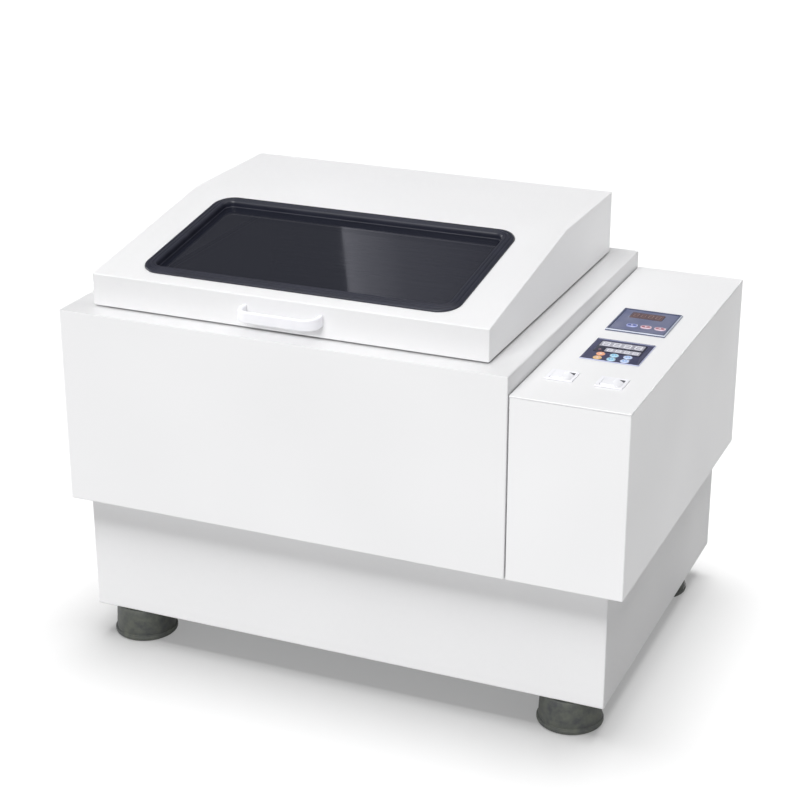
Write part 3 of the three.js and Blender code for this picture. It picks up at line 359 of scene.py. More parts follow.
def grain(tree, size, detail=3.0, stretch=(1, 1, 1), roughness=0.5):
    """Noise whose features are a size in millimetres, on the object's own coordinates."""
    place = add(tree, "TexCoord").outputs["Object"]
    fitted = add(tree, "Mapping", {"Vector": place, "Scale": stretch})
    return add(tree, "TexNoise", {
        "Vector": fitted.outputs["Vector"], "Scale": 1 / mm(size),
        "Detail": detail, "Roughness": roughness,
    }).outputs["Fac"]


# Noise mostly lies between these values.
NOISE_SPAN = (0.3, 0.7)


def vary_roughness(tree, shader, mask, low, high):
    """Runs roughness along a mask."""
    spread = add(tree, "MapRange", {
        "Value": mask, "From Min": NOISE_SPAN[0], "From Max": NOISE_SPAN[1], "To Min": low, "To Max": high,
    })
    tree.links.new(spread.outputs["Result"], shader.inputs["Roughness"])


def vary(tree, shader, mask, colours, roughness, bump=None):
    """Runs colour and roughness along a mask, and bump along a height."""
    ramp = add(tree, "ValToRGB", {"Fac": mask})
    for stop, place, colour in zip(ramp.color_ramp.elements, NOISE_SPAN, colours):
        stop.position = place
        stop.color = linear(colour)
    tree.links.new(ramp.outputs["Color"], shader.inputs["Base Color"])
    vary_roughness(tree, shader, mask, *roughness)
    if bump:
        height, depth, strength = bump
        relief = add(tree, "Bump", {"Height": height, "Distance": mm(depth), "Strength": strength})
        tree.links.new(relief.outputs["Normal"], shader.inputs["Normal"])


def powder_coat():
    """Polyester powder coat, sprayed on steel and baked: satin white with a faint orange peel."""
    material, tree, shader = finish("white_powder_coat", "#f2f2f3", 0.4, Coat_Weight=0.08)
    vary(
        tree, shader, grain(tree, PAINT_DRIFT, 1.0), ("#f3f3f4", "#f0f0f1"), (0.38, 0.44),
        (grain(tree, ORANGE_PEEL, 2.0), 0.02, 0.35),
    )
    return material


def panel_enamel():
    """Stoving enamel on a flat plate: smoother and a little greyer than the powder coat."""
    material, tree, shader = finish("panel_enamel", "#f0f0f1", 0.42)
    vary(
        tree, shader, grain(tree, PAINT_DRIFT, 1.0), ("#f1f1f2", "#eeeeef"), (0.4, 0.46),
        (grain(tree, ORANGE_PEEL, 1.0), 0.01, 0.25),
    )
    return material


def gasket_rubber():
    """EPDM rubber, extruded and dusted: blue-black, satin, with a bloom in faint streaks."""
    material, tree, shader = finish("gasket_rubber", "#1e202e", 0.42)
    streak = grain(tree, GASKET_STREAK, 4.0, (0.25, 1, 1))
    vary(
        tree, shader, streak, ("#1b1d2a", "#232534"), (0.36, 0.5),
        (grain(tree, RUBBER_GRAIN, 3.0), 0.04, 0.3),
    )
    return material


def seal_rubber():
    """Silicone-coated rubber for the chamber's mouth: black, with a fine moulded grain."""
    material, tree, shader = finish("seal_rubber", "#232427", 0.6)
    vary(
        tree, shader, grain(tree, SEAL_CLOUD, 3.0), ("#1f2023", "#2a2b2f"), (0.52, 0.68),
        (grain(tree, RUBBER_GRAIN, 3.0), 0.05, 0.4),
    )
    return material


def foot_rubber():
    """Moulded natural rubber: dark grey with an olive bloom in cloudy patches, dull."""
    material, tree, shader = finish("foot_rubber", "#4a4c4a", 0.62)
    cloud = grain(tree, FOOT_MOTTLE, 5.0, roughness=0.62)
    vary(
        tree, shader, cloud, ("#35373a", "#565951"), (0.5, 0.72),
        (grain(tree, RUBBER_GRAIN, 4.0), 0.12, 0.45),
    )
    return material


def belt_rubber():
    """Neoprene belt, moulded over cord: matt black with scuffs along its run."""
    material, tree, shader = finish("belt_rubber", "#1d1e20", 0.7)
    scuff = grain(tree, BELT_SCUFF, 4.0, (0.2, 0.2, 1))
    vary(
        tree, shader, scuff, ("#191a1c", "#2a2b2d"), (0.6, 0.8),
        (grain(tree, RUBBER_GRAIN, 2.0), 0.05, 0.4),
    )
    return material


def smoked_glass():
    """Tempered glass, smoked in the melt and polished: dark grey, clear enough to see the tray."""
    material, tree, shader = finish("smoked_glass", "#272935", 0.03, IOR=1.5, Alpha=0.56)
    vary_roughness(tree, shader, grain(tree, GLASS_HAZE, 3.0), 0.02, 0.06)
    return material


def brushed_stainless():
    """Stainless sheet, brushed along its length: fine streaks that spread the light across them."""
    material, tree, shader = finish("brushed_stainless", "#c2c4c6", 0.3, 1.0)
    streak = grain(tree, BRUSHED_LINE, 3.0, (BRUSHED_LINE / BRUSHED_LENGTH, 1, 1))
    vary(tree, shader, streak, ("#b4b6b8", "#d0d2d3"), (0.26, 0.42), (streak, 0.01, 0.4))
    return material


def ground_steel():
    """Turned and ground steel: bright with rings too fine to see, a little oil in patches."""
    material, tree, shader = finish("ground_steel", "#a9abad", 0.34, 1.0)
    vary(
        tree, shader, grain(tree, OIL_PATCH, 3.0), ("#9c9ea0", "#b7b9ba"), (0.26, 0.42),
        (grain(tree, GRINDING_LINE, 2.0, (1, 1, 4)), 0.01, 0.3),
    )
    return material


def cast_alloy():
    """Sand-cast aluminium, shot-blasted: dull silver with a pitted grain."""
    material, tree, shader = finish("cast_alloy", "#a3a6a8", 0.52, 1.0)
    vary(
        tree, shader, grain(tree, CASTING_CLOUD, 4.0), ("#97999c", "#b0b2b4"), (0.44, 0.6),
        (grain(tree, CASTING_GRAIN, 3.0), 0.08, 0.5),
    )
    return material


def machine_enamel():
    """Air-drying enamel on castings: dark grey, half-gloss, brushed on."""
    material, tree, shader = finish("machine_enamel", "#33363b", 0.45)
    vary(
        tree, shader, grain(tree, ENAMEL_CLOUD, 3.0), ("#2e3136", "#3a3d42"), (0.36, 0.54),
        (grain(tree, CASTING_GRAIN, 2.0), 0.04, 0.4),
    )
    return material


def mineral_wool():
    """Bonded mineral wool: straw-coloured, matted fibres."""
    material, tree, shader = finish("mineral_wool", "#d8cf9f", 0.95, Sheen_Weight=0.3)
    vary(
        tree, shader, grain(tree, WOOL_FIBRE, 5.0, (1, 0.3, 1)), ("#c6bb85", "#e4ddb6"), (0.9, 1.0),
        (grain(tree, WOOL_FIBRE, 6.0), 1.2, 0.8),
    )
    return material


def moulded(name, colour, dark, light, roughness, texture):
    """An injection-moulded plastic with a fine spark-eroded texture from its mould."""
    material, tree, shader = finish(name, colour, sum(roughness) / 2)
    vary(
        tree, shader, grain(tree, MOULD_CLOUD, 3.0), (dark, light), roughness,
        (grain(tree, MOULD_TEXTURE, 2.0), 0.02, texture),
    )
    return material


MATERIALS = {
    "paint": powder_coat(),
    "panel": panel_enamel(),
    "gasket": gasket_rubber(),
    "seal": seal_rubber(),
    "foot": foot_rubber(),
    "belt": belt_rubber(),
    "glass": smoked_glass(),
    "stainless": brushed_stainless(),
    "ground": ground_steel(),
    "cast": cast_alloy(),
    "enamel": machine_enamel(),
    "wool": mineral_wool(),
}

# Plastics: colour, darker and lighter cloud, roughness and depth of texture.
PLASTICS = {
    # ABS for the handle, the switch frames and their paddles: cool white, half-gloss.
    "white_abs": ("#f5f5fa", "#f3f3f8", "#f8f8fc", (0.28, 0.38), 0.15),
    # Glass-filled nylon for the inlet: black, slightly rough.
    "black_nylon": ("#1b1c1e", "#17181a", "#222326", (0.4, 0.55), 0.4),
    # Grey on the walls of the switch wells: painted shade in the recess.
    "grey_nylon": ("#5b5c61", "#54555a", "#636469", (0.45, 0.6), 0.4),
    # Polycarbonate under a tinted film: slate blue-grey, satin.
    "slate_film": ("#6d7290", "#656b8c", "#777b94", (0.3, 0.4), 0.12),
    # Polyester membrane film over the speed module: navy, satin.
    "navy_film": ("#3b3d5e", "#343657", "#434564", (0.3, 0.42), 0.12),
    # Acrylic display filter: a dull brown-red with the slate of the module in it, polished.
    "red_filter": ("#665358", "#5e4d55", "#6e5a5c", (0.1, 0.18), 0.05),
    # The face of an unlit number display: lavender-grey resin, silky.
    "display_grey": ("#aeadb9", "#a6a5b1", "#b7b6c1", (0.25, 0.35), 0.05),
    # Its segments, milky resin that spreads the light of the chips under it.
    "milky_resin": ("#e6e6ee", "#e0e0e9", "#ececf2", (0.3, 0.4), 0.05),
    "amber_resin": ("#7d6160", "#775a58", "#846866", (0.3, 0.4), 0.05),
    # An unlit indicator: red resin that looks dull without its light.
    "dull_red_resin": ("#7a5560", "#714e59", "#835d68", (0.25, 0.35), 0.05),
    # Acrylic display filter over the speed module: near black, polished.
    "navy_filter": ("#26273d", "#222338", "#2c2d44", (0.1, 0.16), 0.05),
    # Bezels: the same plastics as their modules, darker where no film covers them.
    "slate_bezel": ("#535a75", "#4c536e", "#5c627b", (0.35, 0.45), 0.2),
    "navy_bezel": ("#2a2c4a", "#262844", "#303252", (0.35, 0.45), 0.2),
    # Pale plastic on the modules' chamfered edges: a painted highlight, standing in for the light that the
    # cut edges of the clear sheets catch.
    "clear_edge": ("#c8cedb", "#c0c7d5", "#d1d6e1", (0.12, 0.2), 0.05),
    "lilac_edge": ("#bcc0dc", "#b4b9d8", "#c5c9e2", (0.2, 0.3), 0.05),
    # Key caps, two-shot moulded: a pale rim round a deeper dish.
    "blue_key": ("#a9b1dc", "#a2abd9", "#b1b8e0", (0.25, 0.35), 0.1),
    "blue_middle": ("#5a64a6", "#545ea1", "#636cac", (0.25, 0.35), 0.1),
    "pink_key": ("#dcc3cf", "#d8bcc9", "#e1cbd5", (0.25, 0.35), 0.1),
    "pink_middle": ("#a96675", "#a35f6e", "#b16f7e", (0.25, 0.35), 0.1),
    "orange_key": ("#eeaa84", "#eba37b", "#f1b28f", (0.25, 0.35), 0.1),
    "orange_middle": ("#f2b48c", "#efad83", "#f5bd98", (0.25, 0.35), 0.1),
    "amber_key": ("#e3be88", "#dfb87f", "#e8c692", (0.25, 0.35), 0.1),
    "cyan_key": ("#bcdff2", "#b3daef", "#c6e5f5", (0.25, 0.35), 0.1),
    "cyan_middle": ("#63c0e6", "#58b9e2", "#6fc8ea", (0.25, 0.35), 0.1),
    "sky_key": ("#cfddf8", "#c7d6f5", "#d7e3fa", (0.25, 0.35), 0.1),
    "sky_middle": ("#86b4ee", "#7cacea", "#91bdf1", (0.25, 0.35), 0.1),
}
for name, looks in PLASTICS.items():
    MATERIALS[name] = moulded(name, *looks)


# Sheet metal: merged copies of the cases with their folds rounded.

def at(value, wall, slack=mm(0.05)):
    """Whether a value lies on a wall."""
    return abs(value - wall) < slack


def all_at(points, axis, wall):
    """Whether every point lies on a wall that is square to an axis."""
    return all(at(point[axis], wall) for point in points)


def outer_fold(low, high):
    """A test for edges that lie on two outer faces of a box."""
    def test(edge):
        ends = [vertex.co for vertex in edge.verts]
        return sum(all_at(ends, axis, wall[axis]) for axis in range(3) for wall in (low, high)) >= 2
    return test


def hold_in(piece, low, high):
    """Brings back any corner that a bevel has pushed past the case's own box."""
    for vertex in piece.data.vertices:
        for axis in range(3):
            vertex.co[axis] = min(max(vertex.co[axis], low[axis]), high[axis])


FOLD = mm(1.8)
CUT_EDGE = mm(0.3)


def folded_case(node, slot, material, fold=FOLD, edge=CUT_EDGE, crisp_top=False):
    """A case with its outer folds rounded. A crisp top is the cut edge that a plate lies on."""
    low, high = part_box(node)
    piece = merged_copy(node, node + "_folded")
    outer = outer_fold(low, high)

    def folds(bend):
        at_top = all_at([vertex.co for vertex in bend.verts], 2, high.z)
        return outer(bend) and not (crisp_top and at_top)

    soften(piece, folds, fold, 4)
    ease(piece, edge, 2, 40)
    hold_in(piece, low, high)
    smooth(piece)
    return settle(piece, "root", slot, material, node)


folded_case("cabinet_shell", "white_paint", "paint")
folded_case("control_box", "white_paint", "paint", edge=mm(0.15), crisp_top=True)
folded_case("base_plinth", "white_paint", "paint")
panel_plate = folded_case("control_panel", "panel_paint", "panel", fold=mm(0.8), edge=mm(0.06))

# The plate's skirt comes down close to the box, as it does when its screws pull it on.
SKIRT_BAND = mm(0.45)
SKIRT_DROP = mm(0.22)
mesh = edit(panel_plate, "VERT")
pick(panel_plate, mesh.verts, lambda vertex: vertex.co.z < PANEL_LOW.z + SKIRT_BAND)
bpy.ops.transform.translate(value=(0, 0, -SKIRT_DROP))
leave_edit()


def lid_case():
    """The lid, with round folds all over but at the top of its slope, where the bend is slight."""
    piece = merged_copy("lid_shell", "lid_shell_folded")
    outer = outer_fold(LID_LOW, LID_HIGH)
    lip_z = LID_LOW.z + LID_LIP

    def on_slope(point):
        return at((point.y - LID_LOW.y) * math.sin(SLOPE) - (point.z - lip_z) * math.cos(SLOPE), 0)

    def fold(edge):
        ends = [vertex.co for vertex in edge.verts]
        at_side = any(all_at(ends, 0, wall) for wall in (LID_LOW.x, LID_HIGH.x))
        slope_side = at_side and all(on_slope(end) for end in ends)
        lip = all_at(ends, 1, LID_LOW.y) and all_at(ends, 2, lip_z)
        return outer(edge) or slope_side or lip

    soften(piece, fold, FOLD, 4)
    ease(piece, CUT_EDGE, 2, 40)
    smooth(piece)
    settle(piece, "lid", "white_paint", "paint", "lid_shell")


lid_case()

# The rest of the CAD pieces, eased: node, body, slot, finish and the width of the easing.
EASED = [
    ("base_floor", "root", "stainless", "stainless", 0.3),
    ("chamber_liner", "root", "stainless", "stainless", 0.25),
    ("chamber_insulation", "root", "mineral_wool", "wool", 0.8),
    ("mouth_seal", "root", "black_rubber", "seal", 1.6),
    ("air_duct_cover", "root", "stainless", "stainless", 0.25),
    ("fan_motor", "root", "dark_enamel", "enamel", 0.6),
    ("fan_wheel", "fan_rotor", "cast_aluminium", "cast", 0.3),
    ("heater_tube", "root", "stainless", "ground", 0.2),
    ("temperature_probe", "root", "machined_steel", "ground", 0.3),
    ("drive_motor", "root", "dark_enamel", "enamel", 0.8),
    ("motor_pulley", "motor_rotor", "machined_steel", "ground", 0.3),
    ("drive_belt", "root", "belt_rubber", "belt", 0.4),
    ("drive_bearing_housing", "root", "cast_aluminium", "cast", 0.8),
    ("crank_shaft", "crank", "machined_steel", "ground", 0.4),
    ("driven_pulley", "crank", "cast_aluminium", "cast", 0.3),
    ("counterweight", "crank", "dark_enamel", "enamel", 0.8),
    *[("idler_housing_" + side, "root", "cast_aluminium", "cast", 0.5) for side in SIDES],
    *[("idler_crank_" + side, "idler_" + side, "machined_steel", "ground", 0.4) for side in SIDES],
    ("tray_carrier", "tray", "cast_aluminium", "cast", 0.5),
    ("flask_tray", "tray", "stainless", "stainless", 0.4),
    *[("flask_clamp_" + corner, "tray", "stainless", "stainless", 0.2) for corner in CORNERS],
    ("lid_liner", "lid", "white_paint", "paint", 0.25),
    ("hinge_lid_leaf", "lid", "stainless", "stainless", 0.2),
    ("hinge_body_leaf", "root", "stainless", "stainless", 0.2),
    ("hinge_pin", "root", "machined_steel", "ground", 0.2),
    ("power_inlet", "root", "black_plastic", "black_nylon", 0.5),
]
for node, body, slot, material, width in EASED:
    settle(eased_copy(node, "_eased", width, 40), body, slot, material, node)


# Window: the gasket's profile is drawn in from its outer edge, over and under, to the glass.

GASKET_BASE = mm(0.3)
GASKET_TOP_STEPS = [
    (0, 0.6), (0.2, 0.8), (0.5, 0.7), (0.9, 0.6), (1.2, 0.4), (1.2, 0.0), (0.7, -0.3), (0.35, -0.5),
    (0.35, 0.45), (0.8, 0.5), (1.3, 0.4), (1.3, 0.0), (0.8, -0.3), (0.35, -0.5), (0.35, 0.4), (0.7, 0.3),
    (1.1, 0.1), (1.0, -0.3), (0.8, -0.8), (0.6, -1.1), (0.3, -1.2), (0.1, -1.7), (0.1, -2.0), (0.5, 0.0),
    (0.4, -0.4), (0.2, -0.6), (0, -0.5),
]
GASKET_UNDER_STEPS = [(8.3, 0), (0, -14.0), (6.9, 0)]


def tilt_to_window(piece):
    """Puts a piece that was made at the origin onto the lid's slope."""
    piece.rotation_euler = (SLOPE, 0, 0)
    piece.location = WINDOW_PLACE
    apply_place(piece)


def window_gasket():
    """The gasket: its top and then its underside are drawn in, and their two rims are joined."""
    gasket = rounded_plate(
        "window_gasket_ring", GASKET_WIDTH, GASKET_LENGTH, GASKET_CORNER, 12, GASKET_BASE
    )

    def underside(face):
        return len(face.verts) > 4 and at(face.calc_center_median().z, GASKET_BASE)

    for start, steps in ((lambda face: True, GASKET_TOP_STEPS), (underside, GASKET_UNDER_STEPS)):
        mesh = edit(gasket)
        pick(gasket, mesh.faces, start)
        stack([(mm(inset), mm(lift)) for inset, lift in steps])
        bpy.ops.mesh.delete(type="ONLY_FACE")
    mesh = edit(gasket, "EDGE")
    pick(gasket, mesh.edges, lambda edge: edge.is_boundary)
    bpy.ops.mesh.bridge_edge_loops()
    face_outward()
    smooth(gasket, 50)
    tilt_to_window(gasket)
    settle(gasket, "lid", "black_rubber", "gasket", "window_gasket")


window_gasket()
pane = eased_copy("window_pane", "_polished", 0.5)
settle(pane, "lid", "smoked_glass", "glass", "window_pane")


# Lid handle: a rounded section run out from the lid, round the first bend, across and back.

HANDLE_STRAP = mm(5)
HANDLE_HEIGHT = mm(14)
HANDLE_CORNER = mm(1.9)
HANDLE_BEND = mm(15.5)
HANDLE_BEND_STEPS = 14


def lid_handle():
    """The bow between the handle's two roots on the lid."""
    low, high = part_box("lid_handle")
    centre = (low + high) / 2
    half = (high.x - low.x) / 2
    handle = rounded_plate("lid_handle_bow", HANDLE_STRAP, HANDLE_HEIGHT, HANDLE_CORNER, 5)
    handle.rotation_euler = (math.radians(90), 0, 0)
    half_strap = HANDLE_STRAP / 2
    handle.location = (centre.x - half + half_strap, high.y, centre.z)
    apply_place(handle)
    bend_x = half - half_strap - HANDLE_BEND
    bend_y = low.y + half_strap + HANDLE_BEND
    edit_whole(handle)
    extrude(y=bend_y - high.y)
    for side in (-1, 1):
        bpy.ops.mesh.spin(
            steps=HANDLE_BEND_STEPS, angle=math.radians(90), axis=(0, 0, -1), use_auto_merge=False,
            center=(centre.x + side * bend_x, bend_y, centre.z),
        )
        if side < 0:
            extrude(x=2 * bend_x)
    extrude(y=high.y - bend_y)
    bpy.ops.mesh.select_all(action="SELECT")
    bpy.ops.mesh.remove_doubles(threshold=MERGE)
    face_outward()
    smooth(handle, 50)
    settle(handle, "lid", "white_plastic", "white_abs", "lid_handle")


lid_handle()

# Feet: a lip at the bench, a groove, and a body that draws in a little to the plinth.
FOOT_PROFILE = [
    (36.4, 0), (37.6, 0.4), (38.5, 1.2), (39, 2.4), (39, 4.6), (38.6, 5.6), (37.4, 6.1), (36.6, 6.6),
    (36.4, 7.4), (36.9, 8.4), (36.8, 13), (36.5, 20), (36.1, 27), (35.6, 33), (34.8, 37), (33.4, 39.2),
    (20, 39.7), (20, 41.4), (4, 41.4), (4, 51),
]
for corner in CORNERS:
    middle = middle_of("foot_" + corner)
    foot = turned("foot_" + corner + "_turned", FOOT_PROFILE, (middle.x, middle.y, 0), 96)
    smooth(foot, 40)
    settle(foot, "root", "grey_rubber", "foot", "foot_" + corner)


# Panel modules: a dished bezel whose chamfered outer edge is painted pale, a painted highlight for the cut
# edge of a clear sheet that shines.

PANEL_MIDDLE = (PANEL_LOW.x + PANEL_HIGH.x) / 2
PANEL_TOP = PANEL_HIGH.z


def flat_up(normal):
    return normal.z > 0.99


def slanted(normal):
    return 0.3 < normal.z < 0.95


def upright(normal):
    return abs(normal.z) < 0.3


def on_panel(x, from_front, height):
    """A point by millimetres from the panel's middle line, its front edge and its upper face."""
    return Vector((PANEL_MIDDLE + mm(x), PANEL_LOW.y + mm(from_front), PANEL_TOP + mm(height)))


def panel_module(node, slot, chamfer, film, bezel, side, edge):
    """A module with its outer edge chamfered: film on the dished face, bezel and side round it, and the
    chamfer in a pale edge colour that is a painted highlight.
    """
    low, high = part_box(node)
    piece = merged_copy(node, node + "_bezel")

    def outer_top(rim):
        ends = [vertex.co for vertex in rim.verts]
        beside = any(all_at(ends, axis, wall[axis]) for axis in (0, 1) for wall in (low, high))
        return beside and all_at(ends, 2, high.z)

    soften(piece, outer_top, mm(chamfer), 1)
    smooth(piece, 20)
    settle(piece, "root", slot, film, node)
    paint(piece, bezel, lambda centre, normal: at(centre.z, high.z))
    paint(piece, side, lambda centre, normal: upright(normal))
    # The chamfer takes the edge colour: a painted highlight.
    paint(piece, edge, lambda centre, normal: slanted(normal) and centre.z > PANEL_TOP)


KEY_SHOULDER = mm(0.35)
KEY_DISH_WALL = mm(0.25)
KEY_DISH_DEPTH = mm(0.15)


def marked_key(node, body, slot, rim, dish, rim_width):
    """A key cap with a round shoulder, whose dish is sunk a little inside its rim."""
    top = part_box(node)[1].z
    piece = merged_copy(node, node + "_cap")
    ease(piece, KEY_SHOULDER, 3, 25)
    mesh = edit(piece)
    pick(piece, mesh.faces, lambda face: flat_up(face.normal) and at(face.calc_center_median().z, top))
    bpy.ops.mesh.inset(thickness=mm(rim_width), depth=0)
    bpy.ops.mesh.inset(thickness=KEY_DISH_WALL, depth=-KEY_DISH_DEPTH)
    leave_edit()
    smooth(piece, 35)
    settle(piece, body, slot, rim, node)
    bottom = top - KEY_DISH_DEPTH
    paint(piece, dish, lambda centre, normal: flat_up(normal) and at(centre.z, bottom))


MARK_SINK = mm(0.2)
MARK_STEPS = [(0, mm(0.15)), (mm(0.2), mm(0.1))]


def key_mark(node, body, corners, turn, size):
    """A raised mark on a key: an arrowhead of three corners, or a dot of many."""
    middle = middle_of(node)
    bpy.ops.mesh.primitive_circle_add(vertices=corners, radius=mm(size), fill_type="NGON")
    mark = named(node + "_mark")
    mark.rotation_euler = (0, 0, math.radians(turn))
    mark.location = (middle.x, middle.y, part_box(node)[1].z - MARK_SINK)
    apply_place(mark)
    edit_whole(mark)
    stack(MARK_STEPS)
    leave_edit()
    smooth(mark, 50)
    settle(mark, body, "white_plastic", "milky_resin")


# The speed module's sides take its edge colour too: lilac, a painted highlight.
panel_module(
    "temperature_module", "slate_plastic", 1.0, "slate_film", "slate_bezel", "slate_bezel", "clear_edge"
)
panel_module("speed_module", "navy_plastic", 0.8, "navy_film", "navy_bezel", "lilac_edge", "lilac_edge")

# Key, body, slot, rim, dish, rim width, and the mark's corners, turn and size, in millimetres and degrees.
KEYS = [
    ("temperature_key_set", "set_key", "blue_key", "blue_key", "blue_middle", 0.5, 24, 0, 1.3),
    ("temperature_key_down", "down_key", "pink_key", "pink_key", "pink_middle", 0.5, 3, 180, 2.2),
    ("temperature_key_up", "up_key", "pink_key", "pink_key", "pink_middle", 0.5, 3, 0, 2.2),
    ("speed_key_upper_1", "upper_key_1", "orange_key", "orange_key", "orange_middle", 1.4, 24, 0, 1.2),
    ("speed_key_upper_2", "upper_key_2", "cyan_key", "cyan_key", "cyan_middle", 1.2, 3, 0, 1.8),
    ("speed_key_upper_3", "upper_key_3", "cyan_key", "sky_key", "sky_middle", 1.2, 3, 0, 1.8),
    ("speed_key_lower_1", "lower_key_1", "orange_key", "amber_key", "orange_middle", 1.4, 24, 0, 1.2),
    ("speed_key_lower_2", "lower_key_2", "cyan_key", "cyan_key", "cyan_middle", 1.2, 3, 180, 1.8),
    ("speed_key_lower_3", "lower_key_3", "cyan_key", "sky_key", "sky_middle", 1.2, 3, 180, 1.8),
]
for node, body, slot, rim, dish, rim_width, corners, turn, size in KEYS:
    marked_key(node, body, slot, rim, dish, rim_width)
    key_mark(node, body, corners, turn, size)


# Displays: filters over unlit number displays, whose segments show as milky bars.

DIGITS = 4
STRIP_CORNER = mm(0.8)
SEGMENT_THICKNESS = mm(0.15)
DIGIT_SLANT = math.tan(math.radians(9))
SEGMENT_GAP = mm(0.25)
# Each segment's middle, by half widths and half heights of the digit, and whether it stands.
SEGMENTS = [
    (0, 1, False), (0, 0, False), (0, -1, False),
    (1, 0.5, True), (1, -0.5, True), (-1, 0.5, True), (-1, -0.5, True),
]


def face_strip(name, place, width, length, thickness):
    """The grey face of a row of digits."""
    strip = rounded_plate(name, mm(width), mm(length), STRIP_CORNER, 3)
    strip.location = place
    apply_place(strip)
    edit_whole(strip)
    extrude(z=thickness)
    face_outward()
    smooth(strip)
    settle(strip, "root", "grey_lens", "display_grey")


def segment_bar(length, stroke):
    """One flat bar with pointed ends, along X."""
    bpy.ops.mesh.primitive_plane_add(size=1)
    bar = named("segment_bar")
    bar.scale = (length - stroke, stroke, 1)
    apply_place(bar)
    mesh = edit(bar, "EDGE")
    pick(bar, mesh.edges, lambda end: at(end.verts[0].co.x, end.verts[1].co.x, MERGE))
    bpy.ops.mesh.subdivide(number_cuts=1)
    for side in (-1, 1):
        mesh = edit(bar, "VERT")
        pick(bar, mesh.verts, lambda tip: at(tip.co.y, 0, MERGE) and tip.co.x * side > 0)
        bpy.ops.transform.translate(value=(side * stroke / 2, 0, 0))
    edit_whole(bar)
    extrude(z=SEGMENT_THICKNESS)
    face_outward()
    return bar


def digit_row(name, place, pitch, width, height, stroke, material, slot):
    """A row of seven-segment digits, all segments alike, as on a display that is off."""
    bar_long = segment_bar(mm(width - stroke) - SEGMENT_GAP, mm(stroke))
    bar_tall = segment_bar(mm((height - stroke) / 2) - SEGMENT_GAP, mm(stroke))
    bar_tall.rotation_euler = (0, 0, math.radians(90))
    apply_place(bar_tall)
    half_width, half_height = mm(width - stroke) / 2, mm(height - stroke) / 2
    bars = []
    for digit in range(DIGITS):
        for across, up, standing in SEGMENTS:
            offset = (mm((digit - (DIGITS - 1) / 2) * pitch) + across * half_width, up * half_height, 0)
            bars.append(copy_of(bar_tall if standing else bar_long, name, offset))
    for original in (bar_long, bar_tall):
        bpy.data.objects.remove(original)
    row = join(bars, name)
    row.data.transform(Matrix.Shear("XY", 4, (DIGIT_SLANT, 0)))
    row.location = place
    apply_place(row)
    settle(row, "root", slot, material)


def above_panel(node):
    """How far a node stands above the panel's face, in millimetres."""
    return (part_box(node)[1].z - PANEL_TOP) / MM


# In millimetres: half the strips' thickness, and how far the digits and the lens are off the face.
STRIP_HALF_THICKNESS = 0.1
FACE_OFFSET = 0.05
# The rows and the indicator, from the panel's middle line and from its front edge.
TEMPERATURE_ROW = (-2, 300)
UPPER_ROW = (-0.25, 193)
LOWER_ROW = (5.5, 174.5)
INDICATOR_SPOT = (-21, 173)
TEMPERATURE_FACE = above_panel("temperature_display")
SPEED_FACE = above_panel("speed_display")
for node, slot, material in (
    ("temperature_display", "red_lens", "red_filter"), ("speed_display", "grey_lens", "navy_filter"),
):
    settle(eased_copy(node, "_filter", 0.2), "root", slot, material, node)
digit_row(
    "temperature_digits", on_panel(*TEMPERATURE_ROW, TEMPERATURE_FACE - FACE_OFFSET), 9, 6, 11, 1.1,
    "amber_resin", "red_lens",
)
for name, spot, width, length in (
    ("speed_row_upper", UPPER_ROW, 51.5, 15.5),
    ("speed_row_lower", LOWER_ROW, 41, 11.5),
):
    place = on_panel(*spot, SPEED_FACE - STRIP_HALF_THICKNESS)
    face_strip(name, place, width, length, mm(2 * STRIP_HALF_THICKNESS))
for name, spot, pitch, width, height, stroke in (
    ("speed_digits_upper", UPPER_ROW, 12.7, 9, 12, 1.8),
    ("speed_digits_lower", LOWER_ROW, 10, 7, 8.6, 1.4),
):
    place = on_panel(*spot, SPEED_FACE + FACE_OFFSET)
    digit_row(name, place, pitch, width, height, stroke, "milky_resin", "grey_lens")

# The small dull lens left of the lower row, which lights while the tray shakes.
INDICATOR_PROFILE = [(1.7, 0), (1.7, 0.2), (1.5, 0.45), (1.0, 0.65), (0.4, 0.74)]
lens = turned(
    "speed_indicator", INDICATOR_PROFILE, on_panel(*INDICATOR_SPOT, SPEED_FACE - FACE_OFFSET), 32
)
smooth(lens, 60)
settle(lens, "root", "red_lens", "dull_red_resin")


# Rocker switches: two flat facets that meet in a crisp crease, in a rounded frame whose well walls are
# painted dark grey, a painted shade.

PADDLE_EDGE = 0.35
BEZEL_EDGE = 0.6
CREASE = 7
BARE_WALL = mm(1)
WELL_HALF_LENGTH = mm(12.5)
WELL_WIDTH = mm(23.6)
LIP_WIDTH = mm(0.9)
LIP_THICKNESS = mm(0.7)
LIP_BURY = mm(0.3)
LIP_CORNER = mm(0.12)
LIP_EDGE = mm(0.08)
LIP_SINK = mm(0.1)


def switch_frame(node):
    """The frame's bezel is white, and its well walls are painted grey as painted shade, but for the wall
    at the raised end.
    """
    middle = middle_of(node)
    piece = eased_copy(node, "_bezel", BEZEL_EDGE, 40)
    settle(piece, "root", "white_plastic", "white_abs", node)

    def in_well(centre, normal):
        inward = (middle.x - centre.x) * normal.x + (middle.y - centre.y) * normal.y > 0
        return inward and upright(normal) and centre.x > middle.x - BARE_WALL

    # Painted shade on the well's walls.
    paint(piece, "grey_nylon", in_well)


def switch_lip(node):
    """A thin lip at the well's left end, which closes the gap beside the end raised at rest."""
    middle, top = middle_of(node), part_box(node)[1].z
    lip = rounded_plate(node + "_lip", LIP_WIDTH + LIP_BURY, WELL_WIDTH, LIP_CORNER, 2)
    x = middle.x - WELL_HALF_LENGTH + (LIP_WIDTH - LIP_BURY) / 2
    lip.location = (x, middle.y, top - LIP_THICKNESS)
    apply_place(lip)
    edit_whole(lip)
    stack([(0, LIP_THICKNESS - LIP_SINK), (LIP_EDGE, LIP_EDGE)])
    face_outward()
    smooth(lip, 40)
    settle(lip, "root", "white_plastic", "white_abs")


